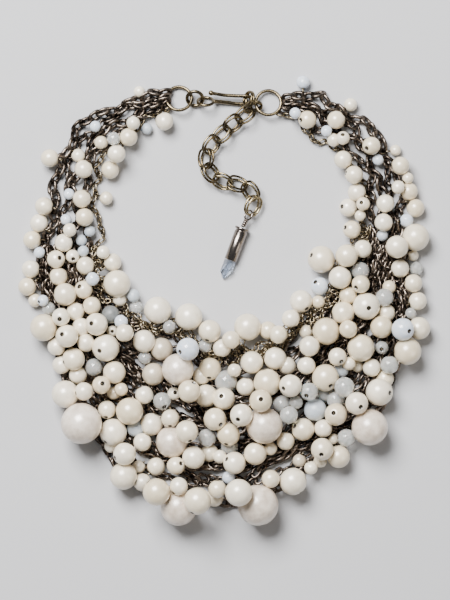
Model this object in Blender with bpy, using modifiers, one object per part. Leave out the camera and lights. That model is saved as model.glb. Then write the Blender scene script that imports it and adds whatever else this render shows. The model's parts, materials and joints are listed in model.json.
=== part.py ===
"""Bib necklace of imitation pearls on five chain strands, lying flat on a table.

Metres, +Z up, the table at Z = 0. Places are read off a plan of the necklace that is
ruled in squares: x to the right and y down, as on a page. Sizes are real sizes.
"""

import math

import bmesh
import bpy
import numpy as np
from mathutils import Matrix, Vector

# The plan's outer edges, in squares, and the width that they stand for.
NECKLACE_WIDTH = 0.1815
LEFT_EDGE = 17.9
RIGHT_EDGE = 430.1
TOP_EDGE = 75.2
BOTTOM_EDGE = 524.8
SQUARE = NECKLACE_WIDTH / (RIGHT_EDGE - LEFT_EDGE)

MILLIMETRE = 0.001
# Room between pieces that touch on the real necklace.
CLEARANCE = 0.0003

# Chain strands and the head pins that carry the beads.
STRAND_COUNT = 5
STRAND_DIAMETER = 0.0036
STRAND_STEP = 3 * STRAND_DIAMETER
STRETCH_PARTS = 24
PIN_DIAMETER = 0.0009
PIN_SIDES = 5
PIN_REACH = 0.016
SHORTEST_PIN = 0.0005
# Room between a strand's end and the end ring that holds it.
STRAND_END_GAP = 0.00045

# End rings and clasp.
END_RING_DIAMETER = 0.0126
END_RING_WIRE = 0.0015
JUMP_RING_DIAMETER = 0.0086
JUMP_RING_WIRE = 0.0016
HOOK_EYE_DIAMETER = 0.0083
HOOK_EYE_WIRE = 0.0014
HOOK_WIRE = 0.0018
HOOK_TIP_DIAMETER = 0.0024
# The two pairs of rings at the chain's upper end, long and wide.
HOOK_LINK_SIZE = (0.0077, 0.0073)
RING_LINK_SIZE = (0.0091, 0.0061)

# Double links: two wires side by side, bent round together.
LINK_WIRE = 0.0011
LINK_LENGTH = 0.0086
LINK_WIDTH = 0.0082
# How far each link bites into the next one.
LINK_BITE = 0.00016
LINK_SIDES = 12
LINK_ROLL = math.radians(38)
ROUTE_PARTS = 200
# The outline of the two wires, in half wires: along the link's axis and out from it.
LINK_SECTION = [(-1.9, 0), (-1, 1), (0, 0.8), (1, 1), (1.9, 0), (1, -1), (0, -0.8), (-1, -1)]

# Drop.
DROP_EYE_DIAMETER = 0.0052
# How much further than a link the drop's eye is rolled.
DROP_EYE_TURN = math.radians(8)
DROP_WIRE = 0.0009
WRAP_DIAMETER = 0.0022
WRAP_LENGTH = 0.00372
WRAP_TURNS = 3
WRAP_GROOVE = 0.7
CASING_LENGTH = 0.0152
CASING_DIAMETER = 0.0056
# How far the casing's mouth lies off the table.
CASING_LIFT = 0.00005
RIM_DIAMETER = 0.0065
RIM_HEIGHT = 0.0009
CASING_WALL = 0.0005
CASING_BORE_DEPTH = 0.0032
CRYSTAL_ACROSS_CORNERS = 0.0052
# From the casing's mouth to the crystal's tip.
CRYSTAL_LENGTH = 0.00876
CRYSTAL_SIDES = 6
# The crystal's point: the ways that its facets face, to the side, up and along the crystal.
CRYSTAL_FACETS = [(0.85, 0.25, 0.46), (-0.66, 0.20, 0.72), (0.0, 0.85, 0.5)]
CRYSTAL_POINT_DROP = 0.35

# How often the faces of a ball are split.
BALL_SPLIT_COUNT = 2
TURNED_SIDES = 16

# The route of the chains: for each place along the necklace, from the left end ring round
# the bib to the right end ring, a point of the inner strand and one of the outer strand.
# The strands between them share out the space.
# Columns: inner x, inner y, outer x, outer y.
STRAND_ROUTE = [
    (151, 118, 147, 96),
    (131, 133, 123, 104),
    (112, 147, 99, 115),
    (101, 160, 79, 129),
    (97, 175, 63, 153),
    (93, 190, 57, 178),
    (96, 207, 55, 203),
    (100, 225, 50, 223),
    (97, 245, 46, 246),
    (98, 266, 43, 270),
    (102, 287, 45, 297),
    (118, 306, 55, 335),
    (140, 321, 65, 375),
    (165, 331, 85, 414),
    (190, 339, 113, 456),
    (212, 352, 153, 489),
    (229, 356, 205, 503),
    (249, 351, 255, 497),
    (273, 345, 300, 474),
    (296, 331, 341, 442),
    (316, 313, 374, 410),
    (330, 295, 396, 368),
    (341, 275, 407, 325),
    (355, 253, 404, 285),
    (363, 232, 401, 249),
    (364, 212, 401, 213),
    (364, 193, 400, 188),
    (358, 175, 393, 164),
    (349, 160, 381, 143),
    (336, 150, 366, 125),
    (322, 142, 348, 113),
    (309, 131, 328, 102),
    (298, 120, 309, 96),
]
# Where the strands meet an end ring, as angles below the line to the ring's outer side.
FAN_INNER = math.radians(70)
FAN_OUTER = math.radians(-10)

# The route of the extension chain: the middle of each of its links.
# Columns: x, y.
EXTENSION_ROUTE = [
    (244.7, 114.7),
    (233.0, 123.2),
    (222.0, 134.0),
    (211.5, 144.5),
    (206.0, 158.5),
    (209.0, 170.5),
    (220.5, 180.5),
    (236.0, 183.5),
    (250.0, 190.0),
    (252.5, 205.0),
]
# The ways that the drop's loop and its casing point, as angles from the X axis.
LOOP_HEADING = math.radians(-115.6)
CASING_HEADING = math.radians(-110.4)

# How the clasp's rings lie.
# Columns: x, y, height of the middle in millimetres, heading, roll and pitch in degrees.
LEFT_RING_PLACE = (178.9, 98.2, 3.13, 0.4, -20.0, 0.6)
RIGHT_RING_PLACE = (268.5, 102.5, 3.35, -1.6, -13.1, 0.4)
JUMP_RING_PLACE = (194.9, 98.3, 3.21, -2.5, 29.5, -2.4)
HOOK_EYE_PLACE = (205.6, 101.2, 3.55, 0.1, -57.3, 0.0)
HOOK_LINK_PLACE = (248.9, 99.0, 5.26, 79.1, 121.4, 2.3)
RING_LINK_PLACE = (252.9, 106.6, 3.45, 16.3, 49.1, -9.7)
# The hook's wire from its eye round the bend to its tip, as it looks when it lies flat, and
# how the hook is rolled about its lower leg.
# Columns: x, y.
HOOK_OUTLINE = [
    (219.0, 103.8),
    (226.0, 105.2),
    (234.0, 106.7),
    (241.0, 107.2),
    (245.5, 107.0),
    (248.6, 105.7),
    (250.2, 103.3),
    (250.0, 100.7),
    (248.2, 98.4),
    (245.0, 97.3),
    (240.0, 97.2),
    (232.0, 96.9),
    (224.0, 96.3),
    (217.0, 95.1),
    (209.6, 93.5),
]
HOOK_AXIS_Y = 107.3
HOOK_SHIFT = (1.44, -3.60)
HOOK_HEIGHT = 0.00102
HOOK_ROLL = math.radians(53.4)

# Main beads, each a node of its own.
# Columns: x, y, diameter in millimetres, layer from the table up, kind.
MAIN_BEADS = [
    (81.9, 423.0, 18, 2, "pearl"),
    (257.9, 504.5, 18, 1, "pearl"),
    (369.4, 426.9, 16, 2, "pearl"),
    (264.3, 425.3, 16, 1, "pearl"),
    (178.8, 507.0, 16, 0, "pearl"),
    (171.9, 441.7, 14, 0, "pearl"),
    (177.9, 369.3, 14, 2, "pearl"),
    (65.4, 394.0, 12, 1, "pearl"),
    (43.9, 327.5, 12, 1, "pearl"),
    (106.0, 347.7, 12, 2, "pearl"),
    (117.1, 283.7, 12, 2, "pearl"),
    (157.6, 310.1, 12, 2, "pearl"),
    (188.8, 316.8, 12, 2, "pearl"),
    (129.7, 411.0, 12, 2, "pearl"),
    (113.2, 432.2, 12, 1, "pearl"),
    (123.7, 475.8, 12, 2, "pearl"),
    (156.9, 490.8, 12, 2, "pearl"),
    (197.6, 499.4, 12, 2, "pearl"),
    (238.6, 491.0, 12, 2, "pearl"),
    (293.0, 481.1, 12, 2, "pearl"),
    (247.5, 327.0, 12, 2, "pearl"),
    (321.3, 259.2, 12, 2, "pearl"),
    (267.1, 382.4, 12, 1, "pearl"),
    (325.3, 377.6, 12, 2, "pearl"),
    (379.1, 391.9, 12, 2, "pearl"),
    (326.0, 331.2, 12, 2, "pearl"),
    (360.7, 347.9, 12, 2, "pearl"),
    (407.4, 351.2, 12, 2, "pearl"),
    (366.1, 306.2, 12, 2, "pearl"),
    (415.7, 237.3, 12, 1, "pearl"),
    (144.2, 341.1, 10, 2, "pearl"),
    (114.5, 372.2, 10, 2, "pearl"),
    (188.0, 348.8, 10, 2, "opal"),
    (209.9, 369.0, 10, 2, "pearl"),
    (290.2, 385.5, 10, 2, "pearl"),
    (260.4, 400.2, 10, 2, "pearl"),
    (223.7, 398.7, 10, 2, "pearl"),
    (356.1, 402.8, 10, 2, "pearl"),
    (335.6, 414.2, 10, 2, "pearl"),
    (315.2, 409.7, 10, 1, "frosted"),
]

# Beads that are fused to the strand that carries them, with the same columns.
STRAND_BEADS = [
    (27.0, 286.7, 8, 1, "pearl"),
    (303.2, 81.9, 6, 1, "opal"),
    (164.4, 121.3, 8, 1, "pearl"),
    (128.6, 137.2, 8, 1, "pearl"),
    (49.7, 158.1, 8, 1, "pearl"),
    (83.6, 169.2, 8, 1, "pearl"),
    (44.0, 206.0, 8, 1, "pearl"),
    (81.9, 198.8, 8, 2, "pearl"),
    (31.9, 239.8, 8, 1, "pearl"),
    (112.4, 262.2, 8, 1, "pearl"),
    (336.0, 120.1, 8, 1, "pearl"),
    (371.2, 145.9, 8, 2, "pearl"),
    (343.0, 159.8, 8, 1, "pearl"),
    (400.4, 165.8, 8, 1, "pearl"),
    (353.8, 174.9, 8, 2, "pearl"),
    (385.2, 203.5, 8, 2, "pearl"),
    (415.8, 208.0, 8, 1, "pearl"),
    (351.8, 229.5, 8, 2, "pearl"),
    (413.4, 283.3, 8, 1, "pearl"),
    (65.2, 294.4, 10, 2, "pearl"),
    (96.9, 324.2, 10, 2, "pearl"),
    (73.7, 359.0, 10, 2, "pearl"),
    (151.4, 424.5, 10, 2, "pearl"),
    (189.4, 390.8, 10, 2, "pearl"),
    (187.0, 430.8, 10, 2, "pearl"),
    (193.7, 457.0, 10, 2, "pearl"),
    (209.8, 331.0, 10, 2, "pearl"),
    (301.1, 301.2, 10, 2, "pearl"),
    (275.3, 358.5, 10, 2, "pearl"),
    (215.0, 418.9, 10, 2, "pearl"),
    (234.4, 462.8, 10, 2, "pearl"),
    (338.6, 456.6, 10, 1, "pearl"),
    (381.4, 326.8, 10, 2, "pearl"),
    (419.0, 328.3, 10, 1, "pearl"),
    (339.9, 277.6, 10, 2, "pearl"),
    (346.6, 255.7, 10, 2, "pearl"),
    (396.5, 247.0, 10, 2, "pearl"),
]


def on_plan(x, y, height=0.0):
    """The place in the world of a place on the plan."""
    middle_x = (LEFT_EDGE + RIGHT_EDGE) / 2
    middle_y = (TOP_EDGE + BOTTOM_EDGE) / 2
    return Vector(((x - middle_x) * SQUARE, (middle_y - y) * SQUARE, height))


def level_way(angle):
    """The level direction at an angle from the X axis."""
    return Vector((math.cos(angle), math.sin(angle), 0))


def clear_scene():
    for item in list(bpy.data.objects):
        bpy.data.objects.remove(item, do_unlink=True)


def new_collection(name, parent):
    collection = bpy.data.collections.new(name)
    parent.children.link(collection)
    return collection


def new_material(name, colour, roughness, metallic):
    material = bpy.data.materials.new(name)
    material.use_nodes = True
    shader = material.node_tree.nodes["Principled BSDF"]
    shader.inputs["Base Color"].default_value = (*colour, 1)
    shader.inputs["Roughness"].default_value = roughness
    shader.inputs["Metallic"].default_value = metallic
    return material


def new_object(name, mesh, collection, material):
    item = bpy.data.objects.new(name, mesh)
    collection.objects.link(item)
    if not mesh.materials:
        mesh.materials.append(material)
    return item


def new_guide(name, mesh, collection):
    """A piece that is joined to another one and isn't a node of its own."""
    item = bpy.data.objects.new(name, mesh)
    collection.objects.link(item)
    item.hide_render = True
    item.display_type = "WIRE"
    return item


def mesh_of(shape, name):
    """A finished mesh from a bmesh, shaded smooth."""
    mesh = bpy.data.meshes.new(name)
    shape.to_mesh(mesh)
    shape.free()
    mesh.shade_smooth()
    return mesh


def mesh_from_curve(name, curve):
    """A curve made a mesh with its caps welded."""
    item = bpy.data.objects.new(name, curve)
    bpy.context.scene.collection.objects.link(item)
    graph = bpy.context.evaluated_depsgraph_get()
    mesh = bpy.data.meshes.new_from_object(item.evaluated_get(graph))
    bpy.data.objects.remove(item, do_unlink=True)
    shape = bmesh.new()
    shape.from_mesh(mesh)
    bpy.data.meshes.remove(mesh)
    bmesh.ops.remove_doubles(shape, verts=shape.verts, dist=1e-6)
    bmesh.ops.recalc_face_normals(shape, faces=shape.faces)
    return mesh_of(shape, name)


def tube_mesh(name, points, radii):
    """A closed tube through the points with a radius at each of them."""
    depth = max(radii)
    curve = bpy.data.curves.new(name, "CURVE")
    curve.dimensions = "3D"
    curve.bevel_depth = depth
    curve.bevel_resolution = 2
    curve.use_fill_caps = True
    spline = curve.splines.new("POLY")
    spline.points.add(len(points) - 1)
    for knot, point, radius in zip(spline.points, points, radii):
        knot.co = (*point, 1)
        knot.radius = radius / depth
    return mesh_from_curve(name, curve)


def torus_mesh(name, diameter, wire, along=16, around=8):
    bpy.ops.mesh.primitive_torus_add(
        major_segments=along,
        minor_segments=around,
        major_radius=(diameter - wire) / 2,
        minor_radius=wire / 2,
    )
    item = bpy.context.object
    mesh = item.data
    mesh.name = name
    bpy.data.objects.remove(item, do_unlink=True)
    mesh.shade_smooth()
    return mesh


def ball_mesh(name, diameter):
    shape = bmesh.new()
    bmesh.ops.create_icosphere(shape, subdivisions=BALL_SPLIT_COUNT, radius=diameter / 2)
    return mesh_of(shape, name)


def bar_mesh(name, start, end, diameter, sides):
    """A straight round bar from one point to another."""
    run = end - start
    turn = run.to_track_quat("Z", "Y").to_matrix().to_4x4()
    shape = bmesh.new()
    bmesh.ops.create_cone(
        shape,
        cap_ends=True,
        segments=sides,
        radius1=diameter / 2,
        radius2=diameter / 2,
        depth=run.length,
        matrix=Matrix.Translation((start + end) / 2) @ turn,
    )
    return mesh_of(shape, name)


def turned(name, profile, collection, material):
    """A solid turned about its Z axis from radii and heights that run down its outer side."""
    shape = bmesh.new()
    corners = [shape.verts.new((radius, 0, height)) for radius, height in profile]
    for pair in zip(corners, corners[1:]):
        shape.edges.new(pair)
    mesh = bpy.data.meshes.new(name)
    shape.to_mesh(mesh)
    shape.free()
    item = new_object(name, mesh, collection, material)
    screw = item.modifiers.new("turn", "SCREW")
    screw.steps = TURNED_SIDES
    screw.render_steps = TURNED_SIDES
    screw.use_merge_vertices = True
    screw.merge_threshold = 0.00001
    screw.use_smooth_shade = True
    return item


def join(item, others):
    """Joins the pieces of a collection to this object as one solid."""
    joined = item.modifiers.new("join", "BOOLEAN")
    joined.operation = "UNION"
    joined.solver = "EXACT"
    joined.operand_type = "COLLECTION"
    joined.collection = others


def lying(centre, heading, roll, pitch=0.0):
    """A ring's placing: its X axis turned to the heading, then its two tilts."""
    return (
        Matrix.Translation(centre)
        @ Matrix.Rotation(heading, 4, "Z")
        @ Matrix.Rotation(pitch, 4, "Y")
        @ Matrix.Rotation(roll, 4, "X")
    )


def clasp_placing(place):
    x, y, height, heading, roll, pitch = place
    centre = on_plan(x, y, height * MILLIMETRE)
    return lying(centre, math.radians(heading), math.radians(roll), math.radians(pitch))


def smooth_curve(points, parts):
    """Points on a smooth curve through the given ones, with so many parts to each stretch."""
    ends = [points[0] * 2 - points[1], *points, points[-1] * 2 - points[-2]]
    curve = []
    for a, b, c, d in zip(ends, ends[1:], ends[2:], ends[3:]):
        for part in range(parts):
            t = part / parts
            curve.append(
                b
                + (c - a) * (t / 2)
                + (a * 2 - b * 5 + c * 4 - d) * (t**2 / 2)
                + (b * 3 - a - c * 3 + d) * (t**3 / 2)
            )
    curve.append(points[-1])
    return curve


def double_link_mesh(name, length, width):
    """A ring of two wires side by side: their outline swept round an oval."""
    half = LINK_WIRE / 2
    section = bpy.data.curves.new(name + "_section", "CURVE")
    outline = section.splines.new("POLY")
    outline.points.add(len(LINK_SECTION) - 1)
    outline.use_cyclic_u = True
    for knot, (along_axis, outwards) in zip(outline.points, LINK_SECTION):
        knot.co = (outwards * half, along_axis * half, 0, 1)
    section_item = bpy.data.objects.new(name + "_section", section)
    curve = bpy.data.curves.new(name, "CURVE")
    curve.dimensions = "2D"
    curve.fill_mode = "NONE"
    curve.bevel_mode = "OBJECT"
    curve.bevel_object = section_item
    ring = curve.splines.new("POLY")
    ring.points.add(LINK_SIDES - 1)
    ring.use_cyclic_u = True
    for index, knot in enumerate(ring.points):
        angle = math.tau * index / LINK_SIDES
        x = (length - LINK_WIRE) / 2 * math.cos(angle)
        y = (width - LINK_WIRE) / 2 * math.sin(angle)
        knot.co = (x, y, 0, 1)
    mesh = mesh_from_curve(name, curve)
    bpy.data.objects.remove(section_item, do_unlink=True)
    return mesh


def build_rings(parts, metal):
    rings = (
        ("ring_left", LEFT_RING_PLACE, END_RING_DIAMETER, END_RING_WIRE),
        ("ring_right", RIGHT_RING_PLACE, END_RING_DIAMETER, END_RING_WIRE),
        ("clasp_jump_ring", JUMP_RING_PLACE, JUMP_RING_DIAMETER, JUMP_RING_WIRE),
    )
    for name, place, diameter, wire in rings:
        ring = new_object(name, torus_mesh(name, diameter, wire), parts, metal)
        ring.matrix_world = clasp_placing(place)


def build_hook(parts, cutters, metal):
    """The eye, with the bent wire and its ball tip joined to it."""
    eye_placing = clasp_placing(HOOK_EYE_PLACE)
    eye = torus_mesh("hook_clasp", HOOK_EYE_DIAMETER, HOOK_EYE_WIRE)
    hook = new_object("hook_clasp", eye, parts, metal)
    hook.matrix_world = eye_placing
    start = eye_placing @ Vector(((HOOK_EYE_DIAMETER - HOOK_EYE_WIRE) / 2, 0, 0))
    knots = [start]
    for x, y in HOOK_OUTLINE:
        flat = on_plan(x + HOOK_SHIFT[0], y + HOOK_SHIFT[1])
        off_axis = (HOOK_AXIS_Y - y) * SQUARE
        flat.y += off_axis * (math.cos(HOOK_ROLL) - 1)
        flat.z = HOOK_HEIGHT + off_axis * math.sin(HOOK_ROLL)
        knots.append(flat)
    knots[1] = (knots[1] + start) / 2
    path = smooth_curve(knots, 2)
    extras = new_collection("hook_pieces", cutters)
    new_guide("hook_wire", tube_mesh("hook_wire", path, [HOOK_WIRE / 2] * len(path)), extras)
    tip = new_guide("hook_tip", ball_mesh("hook_tip", HOOK_TIP_DIAMETER), extras)
    tip.location = path[-1]
    join(hook, extras)


def extension_middles():
    """The links' middles, at equal steps along the route and straight on past its end."""
    step = LINK_LENGTH - 2 * LINK_WIRE + LINK_BITE
    route = smooth_curve([on_plan(x, y) for x, y in EXTENSION_ROUTE], ROUTE_PARTS)
    onward = (route[-1] - route[-2]).normalized()
    middles = [route[0]]
    for point in route:
        if (point - middles[-1]).length >= step:
            middles.append(point)
    while len(middles) < len(EXTENSION_ROUTE):
        middles.append(middles[-1] + onward * step)
    return middles[: len(EXTENSION_ROUTE)]


def build_extension(parts, cutters, metal):
    """Links rolled to one side and the other, each biting a little into the next one.

    The last link lies along the drop's loop. Two pairs of rings join the chain to the hook and
    to the right end ring.
    """
    height = LINK_WIDTH / 2 * math.sin(LINK_ROLL) + LINK_WIRE * math.cos(LINK_ROLL)
    middles = extension_middles()
    mesh = double_link_mesh("extension_link", LINK_LENGTH, LINK_WIDTH)
    others = new_collection("extension_links", cutters)
    befores = [middles[0] * 2 - middles[1], *middles]
    afters = [*middles[1:], middles[-1] + level_way(LOOP_HEADING)]
    for index, (before, middle, after) in enumerate(zip(befores, middles, afters)):
        along = after - (middle if index == len(middles) - 1 else before)
        roll = -LINK_ROLL if index % 2 else LINK_ROLL
        placing = lying(Vector((middle.x, middle.y, height)), math.atan2(along.y, along.x), roll)
        if index == 0:
            chain = new_object("extension_chain", mesh, parts, metal)
            chain.matrix_world = placing
        else:
            link = new_guide(f"extension_link_{index + 1}", mesh, others)
            link.matrix_world = placing
    for name, place, size in (
        ("hook_link", HOOK_LINK_PLACE, HOOK_LINK_SIZE),
        ("ring_link", RING_LINK_PLACE, RING_LINK_SIZE),
    ):
        link = new_guide(name, double_link_mesh(name, *size), others)
        link.matrix_world = clasp_placing(place)
    join(chain, others)
    return Vector((middles[-1].x, middles[-1].y, height))


def build_drop(last_link, parts, cutters, brass, quartz):
    """The wrapped loop, the casing and the crystal, which lies on one of its six sides."""
    link_hole_end = LINK_LENGTH / 2 - LINK_WIRE
    wire_reach = DROP_EYE_DIAMETER - 1.5 * DROP_WIRE + WRAP_LENGTH
    rim = last_link + level_way(LOOP_HEADING) * (link_hole_end + wire_reach)
    rim.z = RIM_DIAMETER / 2
    along = level_way(CASING_HEADING)
    mouth = rim + along * CASING_LENGTH
    mouth.z = CASING_DIAMETER / 2 + CASING_LIFT
    build_casing(rim, mouth, parts, brass)
    build_crystal(mouth, along, parts, cutters, quartz)
    build_drop_wire(rim, last_link, link_hole_end, parts, cutters, brass)


def build_casing(rim, mouth, parts, brass):
    bore = CASING_DIAMETER / 2 - CASING_WALL
    bore_end = CASING_LENGTH - CASING_BORE_DEPTH
    profile = [
        (0, bore_end),
        (bore, bore_end),
        (bore, CASING_LENGTH),
        (CASING_DIAMETER / 2, CASING_LENGTH),
        (CASING_DIAMETER / 2, RIM_HEIGHT),
        (RIM_DIAMETER / 2, RIM_HEIGHT),
        (RIM_DIAMETER / 2, 0),
        (0, 0),
    ]
    casing = turned("drop_casing", profile, parts, brass)
    turn = (mouth - rim).to_track_quat("Z", "Y").to_matrix().to_4x4()
    casing.matrix_world = Matrix.Translation(rim) @ turn


def build_crystal(mouth, along, parts, cutters, quartz):
    """A six-sided bar with a slanted point, and a stem that goes into the casing's bore."""
    radius = CRYSTAL_ACROSS_CORNERS / 2
    height = radius * math.cos(math.pi / CRYSTAL_SIDES)
    length = CRYSTAL_LENGTH - CLEARANCE
    quarter_turn = Matrix.Rotation(math.pi / 2, 4, "Z")
    shape = bmesh.new()
    bmesh.ops.create_cone(
        shape,
        cap_ends=True,
        segments=CRYSTAL_SIDES,
        radius1=radius,
        radius2=radius,
        depth=length,
        matrix=Matrix.Translation((0, 0, CLEARANCE + length / 2)) @ quarter_turn,
    )
    point = Vector((0, -height * CRYSTAL_POINT_DROP, CLEARANCE + length))
    for facing in CRYSTAL_FACETS:
        bmesh.ops.bisect_plane(
            shape,
            geom=shape.verts[:] + shape.edges[:] + shape.faces[:],
            plane_co=point,
            plane_no=facing,
            clear_outer=True,
        )
        rim = [edge for edge in shape.edges if edge.is_boundary]
        bmesh.ops.contextual_create(shape, geom=rim)
    mesh = bpy.data.meshes.new("drop_crystal")
    shape.to_mesh(mesh)
    shape.free()
    crystal = new_object("drop_crystal", mesh, parts, quartz)
    up = Vector((0, 0, 1))
    axes = Matrix((up.cross(along), up, along)).transposed().to_4x4()
    crystal.matrix_world = Matrix.Translation((mouth.x, mouth.y, height)) @ axes
    stem_diameter = CASING_DIAMETER - 2 * (CASING_WALL + mouth.z - height + CLEARANCE)
    inner = Vector((0, 0, CLEARANCE - CASING_BORE_DEPTH))
    outer = Vector((0, 0, 2 * CLEARANCE))
    stem = bar_mesh("crystal_stem", inner, outer, stem_diameter, TURNED_SIDES)
    extras = new_collection("crystal_pieces", cutters)
    new_guide("crystal_stem", stem, extras).matrix_world = crystal.matrix_world
    join(crystal, extras)


def build_drop_wire(rim, last_link, link_hole_end, parts, cutters, brass):
    """An eye round the last link's end, and the wire's wraps down to the rim."""
    eye_radius = (DROP_EYE_DIAMETER - DROP_WIRE) / 2
    to_rim = (rim - last_link).normalized()
    eye = last_link + to_rim * (link_hole_end - CLEARANCE - DROP_WIRE / 2 + eye_radius)
    foot = rim - to_rim * CLEARANCE
    wrap_length = (foot - eye).length - eye_radius
    half = WRAP_DIAMETER / 2
    turn_length = wrap_length / WRAP_TURNS
    profile = [(0, wrap_length)]
    for index in reversed(range(WRAP_TURNS)):
        profile.append((half * WRAP_GROOVE, turn_length * (index + 1)))
        profile.append((half, turn_length * (index + 0.5)))
    profile += [(half * WRAP_GROOVE, 0), (0, 0)]
    wire = turned("drop_wire", profile, parts, brass)
    turn = (eye - foot).to_track_quat("Z", "Y").to_matrix().to_4x4()
    wire.matrix_world = Matrix.Translation(foot) @ turn
    extras = new_collection("drop_wire_pieces", cutters)
    ring = torus_mesh("drop_eye", DROP_EYE_DIAMETER, DROP_WIRE, along=14, around=6)
    loop = new_guide("drop_eye", ring, extras)
    loop.matrix_world = lying(eye, math.atan2(to_rim.y, to_rim.x), LINK_ROLL + DROP_EYE_TURN)
    join(wire, extras)


def fan_end(ring_place, side, share):
    """Where a strand ends beside an end ring; side is -1 at the left ring and 1 at the right."""
    angle = FAN_INNER + (FAN_OUTER - FAN_INNER) * share
    reach = END_RING_DIAMETER / 2 + STRAND_END_GAP
    ring = on_plan(ring_place[0], ring_place[1])
    return ring + Vector((side * math.cos(angle), -math.sin(angle), 0)) * reach


def strand_middles():
    """Each strand's middle line as dense points, lying on the table."""
    lines = []
    for index in range(STRAND_COUNT):
        share = index / (STRAND_COUNT - 1)
        knots = [fan_end(LEFT_RING_PLACE, -1, share)]
        for inner_x, inner_y, outer_x, outer_y in STRAND_ROUTE:
            knots.append(on_plan(inner_x, inner_y).lerp(on_plan(outer_x, outer_y), share))
        knots.append(fan_end(RIGHT_RING_PLACE, 1, share))
        line = smooth_curve(knots, STRETCH_PARTS)
        for point in line:
            point.z = STRAND_DIAMETER / 2
        lines.append(np.array(line))
    return lines


def strand_radii(lines):
    """The radius at each point of each strand: full, or less where its neighbours are close."""
    radii = []
    for index, line in enumerate(lines):
        others = np.concatenate([other for number, other in enumerate(lines) if number != index])
        room = np.array([np.linalg.norm(others - point, axis=1).min() for point in line])
        spans = [room[max(0, at - STRETCH_PARTS) : at + STRETCH_PARTS] for at in range(len(room))]
        least = np.array([span.min() for span in spans])
        radii.append(np.minimum(STRAND_DIAMETER, least - 2 * CLEARANCE) / 2)
    return radii


def evenly_along(line, step):
    """Indices of the line's points that lie about one step apart, with both ends."""
    run = np.concatenate([[0], np.cumsum(np.linalg.norm(np.diff(line, axis=0), axis=1))])
    count = round(run[-1] / step)
    return [int(np.searchsorted(run, run[-1] * part / count)) for part in range(count)] + [len(line) - 1]


def settled_height(centre, radius, balls):
    """The lowest height at which a ball clears the others, which are rows of x, y, z, radius."""
    flat = np.hypot(balls[:, 0] - centre.x, balls[:, 1] - centre.y)
    reach = balls[:, 3] + radius + CLEARANCE
    near = flat < reach
    half = np.sqrt(reach[near] ** 2 - flat[near] ** 2)
    blocked = sorted(zip(balls[near, 2] - half, balls[near, 2] + half))
    height = radius
    for low, high in blocked:
        if low < height < high:
            height = high
    return height


def settle(lines, radii):
    """The beads as middles and radii, settled layer by layer and large ones first."""
    balls = np.concatenate([np.column_stack([line, radius]) for line, radius in zip(lines, radii)])
    chart = MAIN_BEADS + STRAND_BEADS
    placed = [None] * len(chart)
    for number in sorted(range(len(chart)), key=lambda n: (chart[n][3], -chart[n][2])):
        x, y, size, _, _ = chart[number]
        radius = size * MILLIMETRE / 2
        middle = on_plan(x, y)
        middle.z = settled_height(middle, radius, balls)
        placed[number] = (middle, radius)
        balls = np.vstack([balls, (*middle, radius)])
    return placed[: len(MAIN_BEADS)], placed[len(MAIN_BEADS) :]


def gap_to(start, end, points):
    """The least distance from a straight piece to each of the points."""
    run = end - start
    share = np.clip((points - start) @ run / (run @ run), 0, 1)
    return np.linalg.norm(points - start - share[:, None] * run, axis=1)


class Pins:
    """Chooses, for a bead, the shortest straight pin from a strand that clears the rest."""

    def __init__(self, lines, radii, beads):
        self.lines = lines
        self.radii = radii
        self.middles = np.array([middle for middle, _ in beads])
        self.sizes = np.array([radius for _, radius in beads])
        self.chosen = []

    def clears(self, start, end, strand, bead):
        room = PIN_DIAMETER / 2 + CLEARANCE
        others = np.arange(len(self.sizes)) != bead
        if (gap_to(start, end, self.middles[others]) < self.sizes[others] + room).any():
            return False
        for index, (line, radius) in enumerate(zip(self.lines, self.radii)):
            if index != strand and (gap_to(start, end, line) < radius + room).any():
                return False
        steps = np.linspace(0, 1, 12)[:, None]
        here = start + steps * (end - start)
        for other_start, other_end in self.chosen:
            if gap_to(other_start, other_end, here).min() < PIN_DIAMETER + CLEARANCE:
                return False
        return True

    def choose(self, bead, fused):
        """The pin's strand, start and end, or None where no pin is needed or none fits."""
        middle = self.middles[bead]
        options = []
        for strand, line in enumerate(self.lines):
            far = np.linalg.norm(line - middle, axis=1)
            for index in np.nonzero(far < PIN_REACH + self.sizes[bead])[0][::4]:
                options.append((far[index], strand, index))
        for far, strand, index in sorted(options):
            start = self.lines[strand][index]
            bead_reach = 0 if fused else self.sizes[bead] + CLEARANCE
            end = start + (middle - start) * (1 - bead_reach / far)
            length = np.linalg.norm(end - start) - self.radii[strand][index]
            if not fused and length < SHORTEST_PIN:
                return None
            if self.clears(start, end, strand, bead):
                self.chosen.append((start, end))
                return strand, Vector(start), Vector(end)
        return None


def build_strands(parts, cutters, metal, lines, radii, main, fused):
    """The strands' tubes, with their pins and fused beads joined to them."""
    pins = Pins(lines, radii, main + fused)
    extras = [new_collection(f"strand_{index + 1}_pieces", cutters) for index in range(STRAND_COUNT)]
    for number, (middle, radius) in enumerate(main + fused):
        is_fused = number >= len(main)
        pin = pins.choose(number, is_fused)
        if pin is None:
            continue
        strand, start, end = pin
        mesh = bar_mesh(f"pin_{number + 1}", start, end, PIN_DIAMETER, PIN_SIDES)
        new_guide(mesh.name, mesh, extras[strand])
        if is_fused:
            name = f"bead_{number + 1}"
            bead = new_guide(name, ball_mesh(name, 2 * radius), extras[strand])
            bead.location = middle
    for index, (line, radius) in enumerate(zip(lines, radii)):
        picked = evenly_along(line, STRAND_STEP)
        name = f"strand_{index + 1}"
        strand = new_object(name, tube_mesh(name, line[picked], radius[picked]), parts, metal)
        join(strand, extras[index])


def build_pearls(parts, placed, materials):
    for number, ((middle, radius), row) in enumerate(zip(placed, MAIN_BEADS), start=1):
        name = f"pearl_{number:02d}"
        pearl = new_object(name, ball_mesh(name, 2 * radius), parts, materials[row[4]])
        pearl.location = middle


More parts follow.
